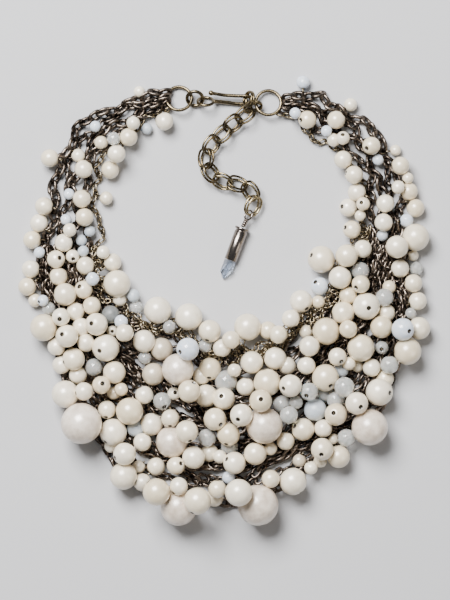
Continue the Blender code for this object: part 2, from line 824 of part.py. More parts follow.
def main():
    clear_scene()
    parts = new_collection("bib_necklace", bpy.context.scene.collection)
    cutters = new_collection("cutters", bpy.context.scene.collection)
    cutters.hide_render = True
    metal = new_material("antique_brass", (0.30, 0.25, 0.17), 0.35, 1.0)
    brass = new_material("polished_brass", (0.36, 0.30, 0.20), 0.3, 1.0)
    quartz = new_material("quartz", (0.80, 0.86, 0.92), 0.1, 0.0)
    beads = {
        "pearl": new_material("pearl", (0.78, 0.72, 0.60), 0.3, 0.0),
        "opal": new_material("opal", (0.66, 0.76, 0.86), 0.2, 0.0),
        "frosted": new_material("frosted_glass", (0.52, 0.52, 0.50), 0.5, 0.0),
    }
    build_rings(parts, metal)
    build_hook(parts, cutters, metal)
    last_link = build_extension(parts, cutters, metal)
    build_drop(last_link, parts, cutters, brass, quartz)
    lines = strand_middles()
    radii = strand_radii(lines)
    main_beads, fused_beads = settle(lines, radii)
    build_strands(parts, cutters, metal, lines, radii, main_beads, fused_beads)
    build_pearls(parts, main_beads, beads)


main()
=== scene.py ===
"""The looks of the bib necklace: its beads, chains, pins, clasp, drop, light and camera.

Metres, +Z up, the table at Z = 0. Places are read off the same plan as the solids: x to
the right and y down, in squares.
"""

import json
import math
import random
from dataclasses import dataclass

import bmesh
import bpy
import numpy as np
from mathutils import Matrix, Vector

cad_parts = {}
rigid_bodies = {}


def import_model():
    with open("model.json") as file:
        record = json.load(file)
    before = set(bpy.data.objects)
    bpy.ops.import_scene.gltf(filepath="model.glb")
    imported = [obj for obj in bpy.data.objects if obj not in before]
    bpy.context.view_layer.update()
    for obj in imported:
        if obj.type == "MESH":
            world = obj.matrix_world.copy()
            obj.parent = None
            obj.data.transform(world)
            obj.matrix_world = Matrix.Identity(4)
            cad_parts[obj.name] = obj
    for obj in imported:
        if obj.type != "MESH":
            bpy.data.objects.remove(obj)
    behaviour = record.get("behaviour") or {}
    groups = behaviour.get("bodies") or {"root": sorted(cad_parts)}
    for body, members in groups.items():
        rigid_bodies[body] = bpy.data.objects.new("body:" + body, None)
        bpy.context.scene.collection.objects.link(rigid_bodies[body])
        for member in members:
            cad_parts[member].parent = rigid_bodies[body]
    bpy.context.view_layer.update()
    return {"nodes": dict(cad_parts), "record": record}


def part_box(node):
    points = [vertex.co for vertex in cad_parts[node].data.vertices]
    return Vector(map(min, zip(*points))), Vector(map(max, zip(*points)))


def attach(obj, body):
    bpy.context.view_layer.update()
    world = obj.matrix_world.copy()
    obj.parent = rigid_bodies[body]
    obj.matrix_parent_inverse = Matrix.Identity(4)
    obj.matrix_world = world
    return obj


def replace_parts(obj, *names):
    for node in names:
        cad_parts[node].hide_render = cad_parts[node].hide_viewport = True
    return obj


# The plan's outer edges, in squares, and the width that they stand for.
NECKLACE_WIDTH = 0.1815
LEFT_EDGE = 17.9
RIGHT_EDGE = 430.1
TOP_EDGE = 75.2
BOTTOM_EDGE = 524.8
SQUARE = NECKLACE_WIDTH / (RIGHT_EDGE - LEFT_EDGE)

# The picture's height in squares, its middle, and how far the camera is above the beads.
VIEW_HEIGHT = 600 * SQUARE
VIEW_MIDDLE = (225.0, 300.0)
CAMERA_DISTANCE = 2.0
BEAD_LEVEL = 0.006
SENSOR = 36.0

# Chain strands.
STRAND_COUNT = 5
STRAND_HEIGHT = 0.0018
STRETCH_PARTS = 24
LINK_PLAY = 0.0001
# Each link is rolled a quarter turn from the one before.
LINK_ROLLS = (math.radians(-42), math.radians(48))
# Length, width and wire of a link: of the outer strands, the other dark chains, the inner
# strand and the fine chain.
THICK_LINK = (0.0074, 0.0052, 0.0016)
DARK_LINK = (0.0064, 0.0044, 0.0013)
INNER_LINK = (0.0045, 0.0031, 0.00088)
FINE_LINK = (0.0036, 0.0026, 0.0007)
STRAND_LINKS = (INNER_LINK, DARK_LINK, THICK_LINK, DARK_LINK, THICK_LINK)
# Further chains that hang between the strands inside the bib, in hundredths of the way from
# the inner strand to the outer one, and the part of the route that they take.
BIB_CHAINS = (4, 12, 20, 28, 34, 38, 42, 46, 56, 62, 69, 78, 83, 89, 95)
BIB_STRETCH = (0.27, 0.74)
# How far the links of a chain are off their places, and how far they turn.
STRAND_SWAY, STRAND_TWIST = 0.0002, 0.25
BIB_SWAY, FINE_SWAY, LOOSE_TWIST = 0.0006, 0.0003, 0.5
# The height at which the end rings hold the chains.
RING_LEVEL = 0.0032
# How far a chain wanders off its route, sideways and in height, and the angles by which its
# three waves go on from one point of the route to the next.
WANDER = 0.0012
RISE = 0.0004
LONG_WAVE, SHORT_WAVE, RISE_WAVE = 0.09, 0.23, 0.17
# The same for the fine chain, whose lengths swing round the inner strand.
FINE_CHAINS = 3
FINE_PHASE = 1.7
FINE_LONG_SWAY, FINE_LONG_WAVE = 0.0024, 0.11
FINE_SHORT_SWAY, FINE_SHORT_WAVE = 0.0014, 0.27
FINE_LEVEL, FINE_RISE, FINE_RISE_WAVE = 0.0019, 0.0012, 0.19

# Head pins. A pin's head lies in the bead's far hole, and the pin is left out where its chain
# is too far off.
PIN_WIRE = 0.00062
PIN_HEAD = 0.00095
PIN_HEAD_DEPTH = 0.0008
PIN_HEAD_HEIGHT = 0.0003
PIN_EYE = 0.0024
PIN_BEND = 0.0022
PIN_REACH = 0.016

# Drilled holes. The widest that one is, and the turns of its profile: how far from the axis,
# in radii of the hole, and how far from the middle, in radii of the bead.
HOLE_DIAMETER = 0.0019
HOLE_SHARE = 0.28
HOLE_EDGE = 1.25
HOLE_LIP = (0.95, 0.985)
HOLE_END = (0.8, 0.55)
# The painted shade of a drilled hole reaches this far from the axis, in radii of the hole.
HOLE_SHADE_REACH = 1.1
# How much a hole out of sight looks up.
HOLE_TILT = 0.12

# Beads of a larger radius are rounder. Columns: sides, rows.
LARGE_BEAD = 0.0055
LARGE_DETAIL = (32, 22)
SMALL_DETAIL = (24, 15)

# End rings and clasp.
END_RING_DIAMETER = 0.0126
END_RING_WIRE = 0.0015
JUMP_RING_DIAMETER = 0.0086
JUMP_RING_WIRE = 0.0016
HOOK_EYE_DIAMETER = 0.0083
HOOK_EYE_WIRE = 0.0014
HOOK_WIRE = 0.0018
HOOK_END_RADIUS = HOOK_WIRE * 0.44
HOOK_TIP_DIAMETER = 0.0024
HOOK_TIP_ROWS = 12

# Double links of the extension chain.
PAIR_WIRE = 0.0011
PAIR_STEP = 0.0086
PAIR_OVERLAP = 2 * PAIR_WIRE - 0.00016
PAIR_HEIGHT = 0.0040
PAIR_ROLL = math.radians(38)
# Length, width, wire and distance apart of the two rings of a link.
PAIR_SIZE = (0.0097, 0.0076, 0.00102, 0.0021)
HOOK_LINK_SIZE = (0.0077, 0.0073, 0.0011, 0.0012)
RING_LINK_SIZE = (0.0091, 0.0061, 0.0011, 0.0012)

# Drop.
DROP_EYE_DIAMETER = 0.0052
DROP_WIRE = 0.0009
DROP_EYE_TURN = math.radians(8)
WRAP_DIAMETER = 0.0022
WRAP_LENGTH = 0.00372
WRAP_TURNS = 3
TURN_PARTS = 16
CASING_LENGTH = 0.0152
CASING_DIAMETER = 0.0056
CASING_LIFT = 0.00005
RIM_DIAMETER = 0.0065
RIM_HEIGHT = 0.0009
CASING_WALL = 0.0005
CASING_BORE_DEPTH = 0.0032
SOFT_EDGE = 0.00015
CLEARANCE = 0.0003

# The route of the chains: for each place along the necklace, from the left end ring round
# the bib to the right end ring, a point of the inner strand and one of the outer strand.
# Columns: inner x, inner y, outer x, outer y.
STRAND_ROUTE = [
    (151, 118, 147, 96), (131, 133, 123, 104), (112, 147, 99, 115), (101, 160, 79, 129),
    (97, 175, 63, 153), (93, 190, 57, 178), (96, 207, 55, 203), (100, 225, 50, 223),
    (97, 245, 46, 246), (98, 266, 43, 270), (102, 287, 45, 297), (118, 306, 55, 335),
    (140, 321, 65, 375), (165, 331, 85, 414), (190, 339, 113, 456), (212, 352, 153, 489),
    (229, 356, 205, 503), (249, 351, 255, 497), (273, 345, 300, 474), (296, 331, 341, 442),
    (316, 313, 374, 410), (330, 295, 396, 368), (341, 275, 407, 325), (355, 253, 404, 285),
    (363, 232, 401, 249), (364, 212, 401, 213), (364, 193, 400, 188), (358, 175, 393, 164),
    (349, 160, 381, 143), (336, 150, 366, 125), (322, 142, 348, 113), (309, 131, 328, 102),
    (298, 120, 309, 96),
]
FAN_INNER = math.radians(45)
FAN_OUTER = math.radians(-20)

# The route of the extension chain: the middle of each of its links.
# Columns: x, y.
EXTENSION_ROUTE = [
    (244.7, 114.7), (233, 123.2), (222, 134), (211.5, 144.5), (206, 158.5), (209, 170.5),
    (220.5, 180.5), (236, 183.5), (250, 190), (252.5, 205),
]
LOOP_HEADING = math.radians(-115.6)
CASING_HEADING = math.radians(-110.4)

# How the clasp's rings lie.
# Columns: x, y, height of the middle in millimetres, heading, roll and pitch in degrees.
LEFT_RING_PLACE = (178.9, 98.2, 3.13, 0.4, -20.0, 0.6)
RIGHT_RING_PLACE = (268.5, 102.5, 3.35, -1.6, -13.1, 0.4)
JUMP_RING_PLACE = (194.9, 98.3, 3.21, -2.5, 29.5, -2.4)
HOOK_EYE_PLACE = (205.6, 101.2, 3.55, 0.1, -57.3, 0.0)
HOOK_LINK_PLACE = (248.9, 99.0, 5.26, 79.1, 121.4, 2.3)
RING_LINK_PLACE = (252.9, 106.6, 3.45, 16.3, 49.1, -9.7)
# The hook's wire from its eye round the bend to its tip, as it looks when it lies flat.
# Columns: x, y.
HOOK_OUTLINE = [
    (219, 103.8), (226, 105.2), (234, 106.7), (241, 107.2), (245.5, 107), (248.6, 105.7),
    (250.2, 103.3), (250, 100.7), (248.2, 98.4), (245, 97.3), (240, 97.2), (232, 96.9), (224, 96.3),
    (217, 95.1), (209.6, 93.5),
]
HOOK_AXIS_Y = 107.3
HOOK_SHIFT = (1.44, -3.60)
HOOK_HEIGHT = 0.00102
HOOK_ROLL = math.radians(38)

# The beads that aren't nodes of their own.
# Columns: x, y, diameter in millimetres, layer from the table up, then the place of a drilled
# hole that is in sight, and the kind of a bead that isn't a plain pearl.
BEADS = [
    (139.1, 91.3, 5, 1), (95.3, 126.4, 5, 2, "o"), (133.4, 123.3, 6, 1), (146.7, 128.5, 5, 1, "f"),
    (164.4, 121.3, 8, 1), (128.6, 137.2, 8, 1), (113.8, 139, 6, 1, "c"), (101, 142.5, 6, 1),
    (116.7, 154.1, 8, 2), (49.7, 158.1, 8, 1), (78.2, 155.4, 6, 1), (83.6, 169.2, 8, 1),
    (110, 169.7, 8, 1), (68.8, 194, 5, 1, "o"), (81.9, 198.8, 8, 2), (106, 198, 6, 1),
    (44, 206, 8, 1), (38.8, 223, 8, 1), (65.9, 219.6, 5, 1, "o"), (84.5, 217.3, 8, 1),
    (70, 230.1, 6, 1), (89.7, 231.1, 5, 1, "f"), (31.9, 239.8, 8, 1), (63.6, 242.8, 8, 1),
    (81.3, 240.3, 5, 0, "f"), (83.3, 251.2, 5, 0, "f"), (39.4, 252.5, 5, 1, "o"),
    (103.2, 252.3, 6, 1), (56.1, 259.3, 8, 2, 60.3, 257.9), (72.7, 256.4, 6, 2, 73.5, 259.2),
    (85.4, 265.6, 8, 1), (112.4, 262.2, 8, 1), (30.5, 269, 8, 1), (58.4, 276.4, 8, 1),
    (92.7, 279, 6, 1, "o"), (27, 286.7, 8, 1), (83.5, 289.6, 8, 1, 79.2, 286.2),
    (65.2, 294.4, 10, 2), (34.7, 300.4, 6, 1), (43.1, 300.5, 5, 2, 39, 302, "o"),
    (48.9, 308.8, 6, 1, "c"), (91.9, 305.7, 8, 1), (61.4, 317, 8, 2, 60.4, 319.2),
    (75.5, 311.5, 8, 0), (96.9, 324.2, 10, 2, 91.7, 323.3), (81.2, 327, 8, 0),
    (67.4, 336, 10, 2, 62.5, 334), (119.5, 299.5, 6, 0), (133.2, 295.7, 6, 1, "f"),
    (136.3, 307.6, 6, 0, "c"), (110.7, 314.5, 8, 0, "g"), (121.4, 321.5, 6, 0, "o"),
    (112.2, 331, 5, 2, 112.4, 331.3), (125, 332.6, 8, 2), (86.3, 342.7, 8, 1), (56.6, 346.5, 8, 0),
    (161.5, 349, 10, 0, "w"), (169.4, 326.8, 6, 1, "c"), (73.7, 359, 10, 2, 63.5, 362.3),
    (61.2, 365, 8, 1), (93.9, 367.4, 8, 1, "c"), (144.7, 357.8, 6, 0, "c"), (77.8, 375.1, 8, 1),
    (101.6, 384.8, 8, 2, 103.2, 383), (121.2, 389.3, 6, 1), (113.3, 393.3, 6, 0),
    (153.3, 374.2, 10, 1, "w"), (84.5, 391, 8, 2, 75.8, 393), (106.9, 409.6, 8, 2, 105.9, 417.4),
    (144.3, 395, 8, 2), (162.1, 401.2, 8, 2, 164.6, 407.2, "c"), (174, 393.8, 6, 2, 175.3, 392.4),
    (189.4, 390.8, 10, 2, 193.9, 381.9), (151.4, 424.5, 10, 2), (170.4, 418.1, 8, 2, 170.3, 426),
    (142.5, 442, 8, 2), (187, 430.8, 10, 2, 190.4, 440.3), (124.9, 453.5, 10, 2, 115.3, 457.3),
    (110.5, 446.2, 6, 0), (135.8, 428.3, 8, 0, "f"), (138.5, 467, 6, 0, "w"), (193.7, 457, 10, 2),
    (142.6, 482.4, 8, 0, "w"), (156, 466.7, 8, 2), (176.1, 465.3, 8, 2, 181.4, 462.7),
    (179, 485.2, 8, 2, 173, 492.5), (217.4, 488.5, 8, 2), (214.5, 497.5, 8, 0),
    (228.8, 477.8, 6, 0, "o"), (270.6, 478.3, 8, 2), (310.9, 467.8, 6, 2),
    (299.4, 460.8, 6, 0, "w"), (320.4, 461, 6, 0), (338.6, 456.6, 10, 1),
    (321.8, 448.8, 10, 2, 320.8, 454), (346.2, 437.8, 8, 2, "c"), (333.4, 439.2, 5, 0),
    (209.8, 331, 10, 2, 207, 340.6), (205.3, 346, 6, 1, "c"), (231, 339.8, 8, 2),
    (221.9, 348, 8, 0), (268, 330.3, 8, 0), (278.3, 334.4, 8, 2), (290.7, 318.5, 8, 2),
    (301.1, 301.2, 10, 2, 306.8, 309), (318.4, 302, 6, 1), (319.8, 286.1, 8, 2, 315, 281.7, "o"),
    (294, 318, 6, 0), (306, 331.6, 6, 0), (201.6, 375.7, 8, 0), (234.3, 370.2, 6, 2),
    (251.8, 362.4, 10, 2), (275.3, 358.5, 10, 2), (287.3, 365.8, 8, 0, "w"),
    (226, 381.4, 10, 0, "c"), (245.5, 386.8, 8, 1), (206.2, 395.8, 10, 0),
    (241.3, 414.5, 10, 2, 237.7, 418.7), (215, 418.9, 10, 2, 220.9, 424.2),
    (228.5, 434.2, 10, 1, 225.9, 444), (207.2, 437.6, 8, 1, "c"), (229.4, 446.5, 8, 0, "c"),
    (209.6, 453, 8, 0), (219.8, 456.5, 6, 1), (234.4, 462.8, 10, 2, 226.3, 458.4),
    (255.2, 453.4, 10, 2), (270.4, 448.7, 6, 0), (281.7, 404.2, 8, 1, "c"),
    (295.9, 402.1, 6, 1, "c"), (288.6, 414.5, 8, 1, "c"), (303, 429.4, 10, 2, 294.2, 425.7),
    (285.5, 441.1, 8, 0), (323.2, 428.3, 8, 2), (308.8, 391.3, 8, 2, 305.9, 395.5, "c"),
    (325.3, 393, 8, 0, "c"), (335.6, 399.5, 8, 0, "c"), (344, 386.8, 9, 1, "c"), (385, 378.5, 8, 0),
    (306.2, 365.4, 8, 2), (309.2, 346, 9, 2), (341.5, 370.5, 6, 0, "f"),
    (337.1, 356.6, 8, 2, 341, 361.6), (348.7, 363.6, 6, 0), (357.3, 365.9, 6, 0),
    (371.7, 367.6, 8, 1), (389.2, 364.8, 8, 1, "c"), (347.9, 329, 8, 2),
    (381.9, 347.6, 6, 1, 381.4, 349.3, "c"), (381.4, 326.8, 10, 2),
    (402.2, 329.3, 10, 2, 408.6, 331.1, "o"), (419, 328.3, 10, 1), (343, 312.8, 10, 1),
    (386.4, 312.9, 8, 0), (410.8, 313.3, 5, 1, "c"), (348.2, 295.4, 8, 0),
    (384.3, 297.4, 8, 1, "c"), (389.2, 287, 6, 0), (360.4, 284.2, 8, 2, 355.2, 287.8),
    (360.4, 271, 8, 0, "c"), (339.9, 277.6, 10, 2), (346.6, 255.7, 10, 2), (362.7, 248.9, 8, 1),
    (417.9, 301, 8, 1), (413.4, 283.3, 8, 1), (400.1, 268.4, 8, 2), (416.5, 268.3, 6, 1, "c"),
    (413.4, 255.4, 5, 1), (396.5, 247, 10, 2), (382.4, 235.6, 5, 0, "f"),
    (351.8, 229.5, 8, 2, 344.7, 227.4), (383.4, 222.6, 8, 1), (406.8, 220.4, 6, 1, "o"),
    (360.3, 215.7, 5, 1), (348.2, 207.4, 8, 1, 341.5, 206.5), (362.9, 204, 6, 2, 360.8, 202.7),
    (385.2, 203.5, 8, 2), (415.8, 208, 8, 1), (409, 191.3, 8, 0), (398, 187.3, 6, 2),
    (407.9, 178.1, 5, 1), (356.8, 192.3, 8, 1), (353.8, 174.9, 8, 2, 345.3, 173),
    (400.4, 165.8, 8, 1), (378.2, 159.7, 5, 1, "o"), (343, 159.8, 8, 1),
    (371.2, 145.9, 8, 2, 366, 148.8), (395.7, 150, 5, 1), (333.8, 139.9, 6, 1),
    (342.8, 138.3, 6, 2, 342.3, 134.9), (326.5, 131.1, 5, 1, "o"), (336, 120.1, 8, 1),
    (350.7, 104.5, 6, 1), (307.3, 119.8, 8, 1, 300.2, 120.4), (295.1, 113.4, 5, 1, "o"),
    (303.2, 81.9, 6, 1, "o"),
]
# Drilled holes in sight on the main beads, which are nodes of their own.
# Columns: node, hole x, hole y.
MAIN_HOLES = [
    ("pearl_10", 99.8, 350.8), ("pearl_15", 105.3, 441.9), ("pearl_18", 192, 511.8),
    ("pearl_22", 310.9, 255.1), ("pearl_24", 330.4, 385.7), ("pearl_25", 389.6, 392.6),
    ("pearl_29", 368.3, 308.2), ("pearl_33", 180, 351.7), ("pearl_34", 209.1, 378.1),
    ("pearl_35", 282.8, 388.1), ("pearl_36", 260.7, 398.3), ("pearl_37", 221.1, 395.6),
    ("pearl_38", 359.9, 406.3), ("pearl_39", 332.9, 412.4),
]
# The kind of a plain pearl, and for each kind, what its small beads are called and its slot.
PLAIN = "p"
KINDS = {
    "p": ("pearl", "pearl"),
    "w": ("white_pearl", "pearl"),
    "o": ("opal", "opal"),
    "f": ("frosted_glass", "frosted"),
    "g": ("grey_glass", "frosted"),
    "c": ("clear_glass", "quartz"),
}
# The kinds of the main beads, by the slots of their nodes. Those over this radius are silvery.
MAIN_KINDS = {"pearl": "p", "opal": "o", "frosted": "f"}
SILVER_RADIUS = 0.0065
# The layers of the main beads, in the order of their nodes.
MAIN_LAYERS = "2121002112222212222212212222221222222221"
# The heap of beads: the highest that the middle of one may lie, how far it is below a higher
# layer and over a lower one, how far beads may press together, and how many heights are tried.
CEILING = 0.020
BELOW_NEXT = 0.001
OVER_LAST = 0.0005
PRESS = 0.0003
HEAP_LEVELS = 60
# A bead is in its strand's solid where the solid, this near to the bead's middle, is this much
# higher than the chain.
PLUMB = 0.0002
BEAD_RISE = 0.002

# Light and floor.
# Columns: name, place, size, watts, colour.
LIGHTS = [
    ("window", (-0.38, 0.65, 1.1), 0.65, 56.0, "ffffff"),
    ("fill", (0.9, -0.4, 0.7), 0.6, 3.0, "fff6ea"),
]
SKY_COLOUR = "dfe4ea"
SKY_STRENGTH = 0.18
FLOOR_SIZE = 4.0
FLOOR_LEVEL = -0.0002

# The colour inputs of a Mix node, and its settings and output for colours.
MIX_FIRST, MIX_SECOND = 6, 7
COLOURS = {"data_type": "RGBA", "output": 2}

chance = random.Random(7)


def on_plan(x, y, height=0.0):
    """The place in the world of a place on the plan."""
    middle_x = (LEFT_EDGE + RIGHT_EDGE) / 2
    middle_y = (TOP_EDGE + BOTTOM_EDGE) / 2
    return Vector(((x - middle_x) * SQUARE, (middle_y - y) * SQUARE, height))


def level_way(angle):
    """The level direction at an angle from the X axis."""
    return Vector((math.cos(angle), math.sin(angle), 0))


def linear(code):
    """The linear colour of a colour written as six hexadecimal digits."""
    shades = [int(code[at : at + 2], 16) / 255 for at in (0, 2, 4)]
    return [s / 12.92 if s <= 0.04045 else ((s + 0.055) / 1.055) ** 2.4 for s in shades] + [1.0]


def lying(centre, heading, roll, pitch=0.0):
    """A ring's placing: its X axis turned to the heading, then its two tilts."""
    return (
        Matrix.Translation(centre)
        @ Matrix.Rotation(heading, 4, "Z")
        @ Matrix.Rotation(pitch, 4, "Y")
        @ Matrix.Rotation(roll, 4, "X")
    )


def clasp_placing(place):
    x, y, height, heading, roll, pitch = place
    centre = on_plan(x, y, height / 1000)
    return lying(centre, math.radians(heading), math.radians(roll), math.radians(pitch))


def aimed(centre, direction):
    """A placing whose Z axis points in the direction."""
    return Matrix.Translation(centre) @ direction.to_track_quat("Z", "Y").to_matrix().to_4x4()


def new_object(name, data):
    item = bpy.data.objects.new(name, data)
    bpy.context.scene.collection.objects.link(item)
    return item


def smooth_curve(points, parts):
    """Points on a smooth curve through the given ones, with so many parts to each stretch."""
    ends = [points[0] * 2 - points[1], *points, points[-1] * 2 - points[-2]]
    curve = []
    for a, b, c, d in zip(ends, ends[1:], ends[2:], ends[3:]):
        for part in range(parts):
            t = part / parts
            curve.append(
                b
                + (c - a) * (t / 2)
                + (a * 2 - b * 5 + c * 4 - d) * (t**2 / 2)
                + (b * 3 - a - c * 3 + d) * (t**3 / 2)
            )
    curve.append(points[-1])
    return curve


class Shape:
    """Points and faces of a small shape that is copied many times."""

    def __init__(self, mesh):
        bmesh.ops.recalc_face_normals(mesh, faces=mesh.faces)
        mesh.verts.index_update()
        self.points = np.array([vert.co for vert in mesh.verts])
        self.faces = [[vert.index for vert in face.verts] for face in mesh.faces]
        # No painted hole shade unless a bead's hole sets it.
        self.painted_hole_shade = np.zeros(len(self.points))
        mesh.free()


def ring_shape(length, width, wire, along=24, around=10):
    """A round wire bent to an oval ring in the XY plane."""
    mesh = bmesh.new()
    bmesh.ops.create_circle(mesh, segments=around, radius=wire / 2)
    middle = (width - wire) / 2
    bmesh.ops.rotate(mesh, verts=mesh.verts, matrix=Matrix.Rotation(math.pi / 2, 3, "X"))
    bmesh.ops.translate(mesh, verts=mesh.verts, vec=(middle, 0, 0))
    geometry = mesh.verts[:] + mesh.edges[:]
    bmesh.ops.spin(mesh, geom=geometry, axis=(0, 0, 1), angle=math.tau, steps=along)
    bmesh.ops.remove_doubles(mesh, verts=mesh.verts, dist=wire / 100)
    stretch = (length - width) / 2
    for vert in mesh.verts:
        # The round ends move apart, and the sides between them are drawn out.
        vert.co.x += stretch * max(-1.0, min(1.0, vert.co.x / (middle * 0.7)))
    return Shape(mesh)


def turned_shape(profile, sides):
    """A shape turned about the Z axis from radii and heights."""
    mesh = bmesh.new()
    corners = [mesh.verts.new((radius, 0, height)) for radius, height in profile]
    edges = [mesh.edges.new(pair) for pair in zip(corners, corners[1:])]
    bmesh.ops.spin(mesh, geom=corners + edges, axis=(0, 0, 1), angle=math.tau, steps=sides)
    bmesh.ops.remove_doubles(mesh, verts=mesh.verts, dist=1e-7)
    return Shape(mesh)


def bead_shape(radius, sides, rows):
    """A round bead with a drilled hole along its Z axis, its rim softly rounded."""
    hole = min(HOLE_DIAMETER / 2, radius * HOLE_SHARE)
    start = math.asin(hole * HOLE_EDGE / radius)
    lip = (hole * HOLE_LIP[0], radius * math.cos(start) * HOLE_LIP[1])
    end = (hole * HOLE_END[0], radius * HOLE_END[1])
    profile = [end, lip]
    for row in range(rows + 1):
        angle = start + (math.pi - 2 * start) * row / rows
        profile.append((radius * math.sin(angle), radius * math.cos(angle)))
    profile += [(lip[0], -lip[1]), (end[0], -end[1])]
    bead = turned_shape(profile, sides)
    out = np.hypot(bead.points[:, 0], bead.points[:, 1])
    # Points inside the hole and on its lip carry the painted shade of the hole.
    bead.painted_hole_shade = (out < hole * HOLE_SHADE_REACH).astype(float)
    return bead


def tube_shape(points, radii, sides=8):
    """A round wire through the points, closed at both ends."""
    mesh = bmesh.new()
    bmesh.ops.create_circle(mesh, segments=sides, radius=1, cap_ends=True)
    verts, edges = mesh.verts[:], mesh.edges[:]
    placing = Matrix()
    side = Vector((0, 0, 1))
    for index, point in enumerate(points):
        if index:
            made = bmesh.ops.extrude_edge_only(mesh, edges=edges)["geom"]
            verts = [item for item in made if isinstance(item, bmesh.types.BMVert)]
            edges = [item for item in made if isinstance(item, bmesh.types.BMEdge)]
            edges = [edge for edge in edges if edge.verts[0] in verts and edge.verts[1] in verts]
        along = (points[min(index + 1, len(points) - 1)] - points[max(index - 1, 0)]).normalized()
        side = (side - along * side.dot(along)).normalized()
        turned = Matrix((side, along.cross(side), along)).transposed().to_4x4()
        after = Matrix.Translation(point) @ turned @ Matrix.Scale(radii[index], 4)
        bmesh.ops.transform(mesh, matrix=after @ placing.inverted(), verts=verts)
        placing = after
    bmesh.ops.contextual_create(mesh, geom=edges)
    return Shape(mesh)


class Pile:
    """Copies of shapes, gathered as arrays and joined into one mesh.

    A copy's tone says how worn or how warm it is, and its points say where the painted shade of a
    drilled hole lies.
    """

    def __init__(self):
        self.points = []
        self.faces = []
        self.tones = []
        self.painted_hole_shade = []
        self.count = 0

    def add(self, shape, placing=None, tone=0.5):
        points = shape.points
        if placing is not None:
            turn = np.array(placing)
            points = points @ turn[:3, :3].T + turn[:3, 3]
        self.points.append(points)
        self.faces += [[index + self.count for index in face] for face in shape.faces]
        self.tones += [tone] * len(points)
        self.painted_hole_shade.append(shape.painted_hole_shade)
        self.count += len(points)

    def make(self, name, material, slot_name="antique_brass"):
        mesh = bpy.data.meshes.new(name)
        mesh.from_pydata(np.concatenate(self.points).tolist(), [], self.faces)
        # The hole attribute carries the painted shade inside the drilled holes.
        for key, values in (("tone", self.tones), ("hole", np.concatenate(self.painted_hole_shade))):
            mesh.attributes.new(key, "FLOAT", "POINT").data.foreach_set("value", values)
        mesh.materials.append(material)
        mesh.shade_smooth()
        mesh.update()
        piece = new_object(name, mesh)
        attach(piece, "root")
        return piece


def per_metre(millimetres):
    """The noise scale that gives patches about this large."""
    return 1000 / millimetres


def new_finish(name):
    """A new material and its shader."""
    finish = bpy.data.materials.new(name)
    finish.use_nodes = True
    return finish, finish.node_tree.nodes["Principled BSDF"]


def set_inputs(node, inputs):
    """Sets inputs of the node, each to a value or to another node's output."""
    for key, value in inputs.items():
        if isinstance(value, bpy.types.NodeSocket):
            node.id_data.links.new(value, node.inputs[key])
        else:
            node.inputs[key].default_value = value


def add_node(finish, kind, inputs, output=0, **settings):
    """Adds a node with its settings and links, and gives an output, by default the first."""
    node = finish.node_tree.nodes.new("ShaderNode" + kind)
    for key, value in settings.items():
        setattr(node, key, value)
    set_inputs(node, inputs)
    return node.outputs[output]


def lacquer(name, light, warm, coat, clouds):
    """Pearl lacquer, dipped in several coats over a round bead."""
    # Pale pigment in a clear lacquer gives a warm white that differs from bead to bead, with
    # cloudy patches of about 5 mm and a soft, wide highlight in a slightly yellow top coat.
    # Its grain is finer than a tenth of a millimetre, and is drawn at 0.7 mm so that it shows.
    finish, shader = new_finish(name)
    place = add_node(finish, "TexCoord", {}, "Object")
    tone = add_node(finish, "Attribute", {}, "Fac", attribute_name="tone")
    # Where the painted shade of the drilled hole lies.
    hole = add_node(finish, "Attribute", {}, "Fac", attribute_name="hole")
    patches = {"Vector": place, "Scale": per_metre(4.8), "Detail": 4.0, "Roughness": 0.6}
    patch = add_node(finish, "TexNoise", patches)
    cloud = {"Value": patch, "From Min": 0.35, "From Max": 0.7}
    cloud = add_node(finish, "MapRange", cloud)
    warmth = add_node(finish, "MapRange", {"Value": tone, "From Min": 0.2})
    body = {"Factor": warmth, MIX_FIRST: linear(light), MIX_SECOND: linear(warm)}
    body = add_node(finish, "Mix", body, **COLOURS)
    depth = add_node(finish, "MapRange", {"Value": cloud, "To Max": clouds})
    clouded = {"Factor": depth, MIX_FIRST: body, MIX_SECOND: linear("b9aea2")}
    body = add_node(finish, "Mix", clouded, **COLOURS, blend_type="MULTIPLY")
    # Painted shade: the hole's inside and lip are darkened to dark brown.
    drilled = {"Factor": hole, MIX_FIRST: body, MIX_SECOND: linear("2a241e")}
    body = add_node(finish, "Mix", drilled, **COLOURS)
    gloss = {"Value": cloud, "To Min": 0.26, "To Max": 0.38}
    gloss = add_node(finish, "MapRange", gloss)
    grains = {"Vector": place, "Scale": per_metre(0.67)}
    grain = add_node(finish, "TexNoise", grains)
    relief = {"Height": grain, "Distance": 0.00003, "Strength": 0.4}
    look = {
        "Base Color": body,
        "Roughness": gloss,
        "Specular IOR Level": 0.7,
        "Coat Weight": 1.0,
        "Coat Roughness": 0.3,
        "Coat IOR": 1.8,
        "Coat Tint": linear(coat),
        "Normal": add_node(finish, "Bump", relief),
    }
    set_inputs(shader, look)
    return finish


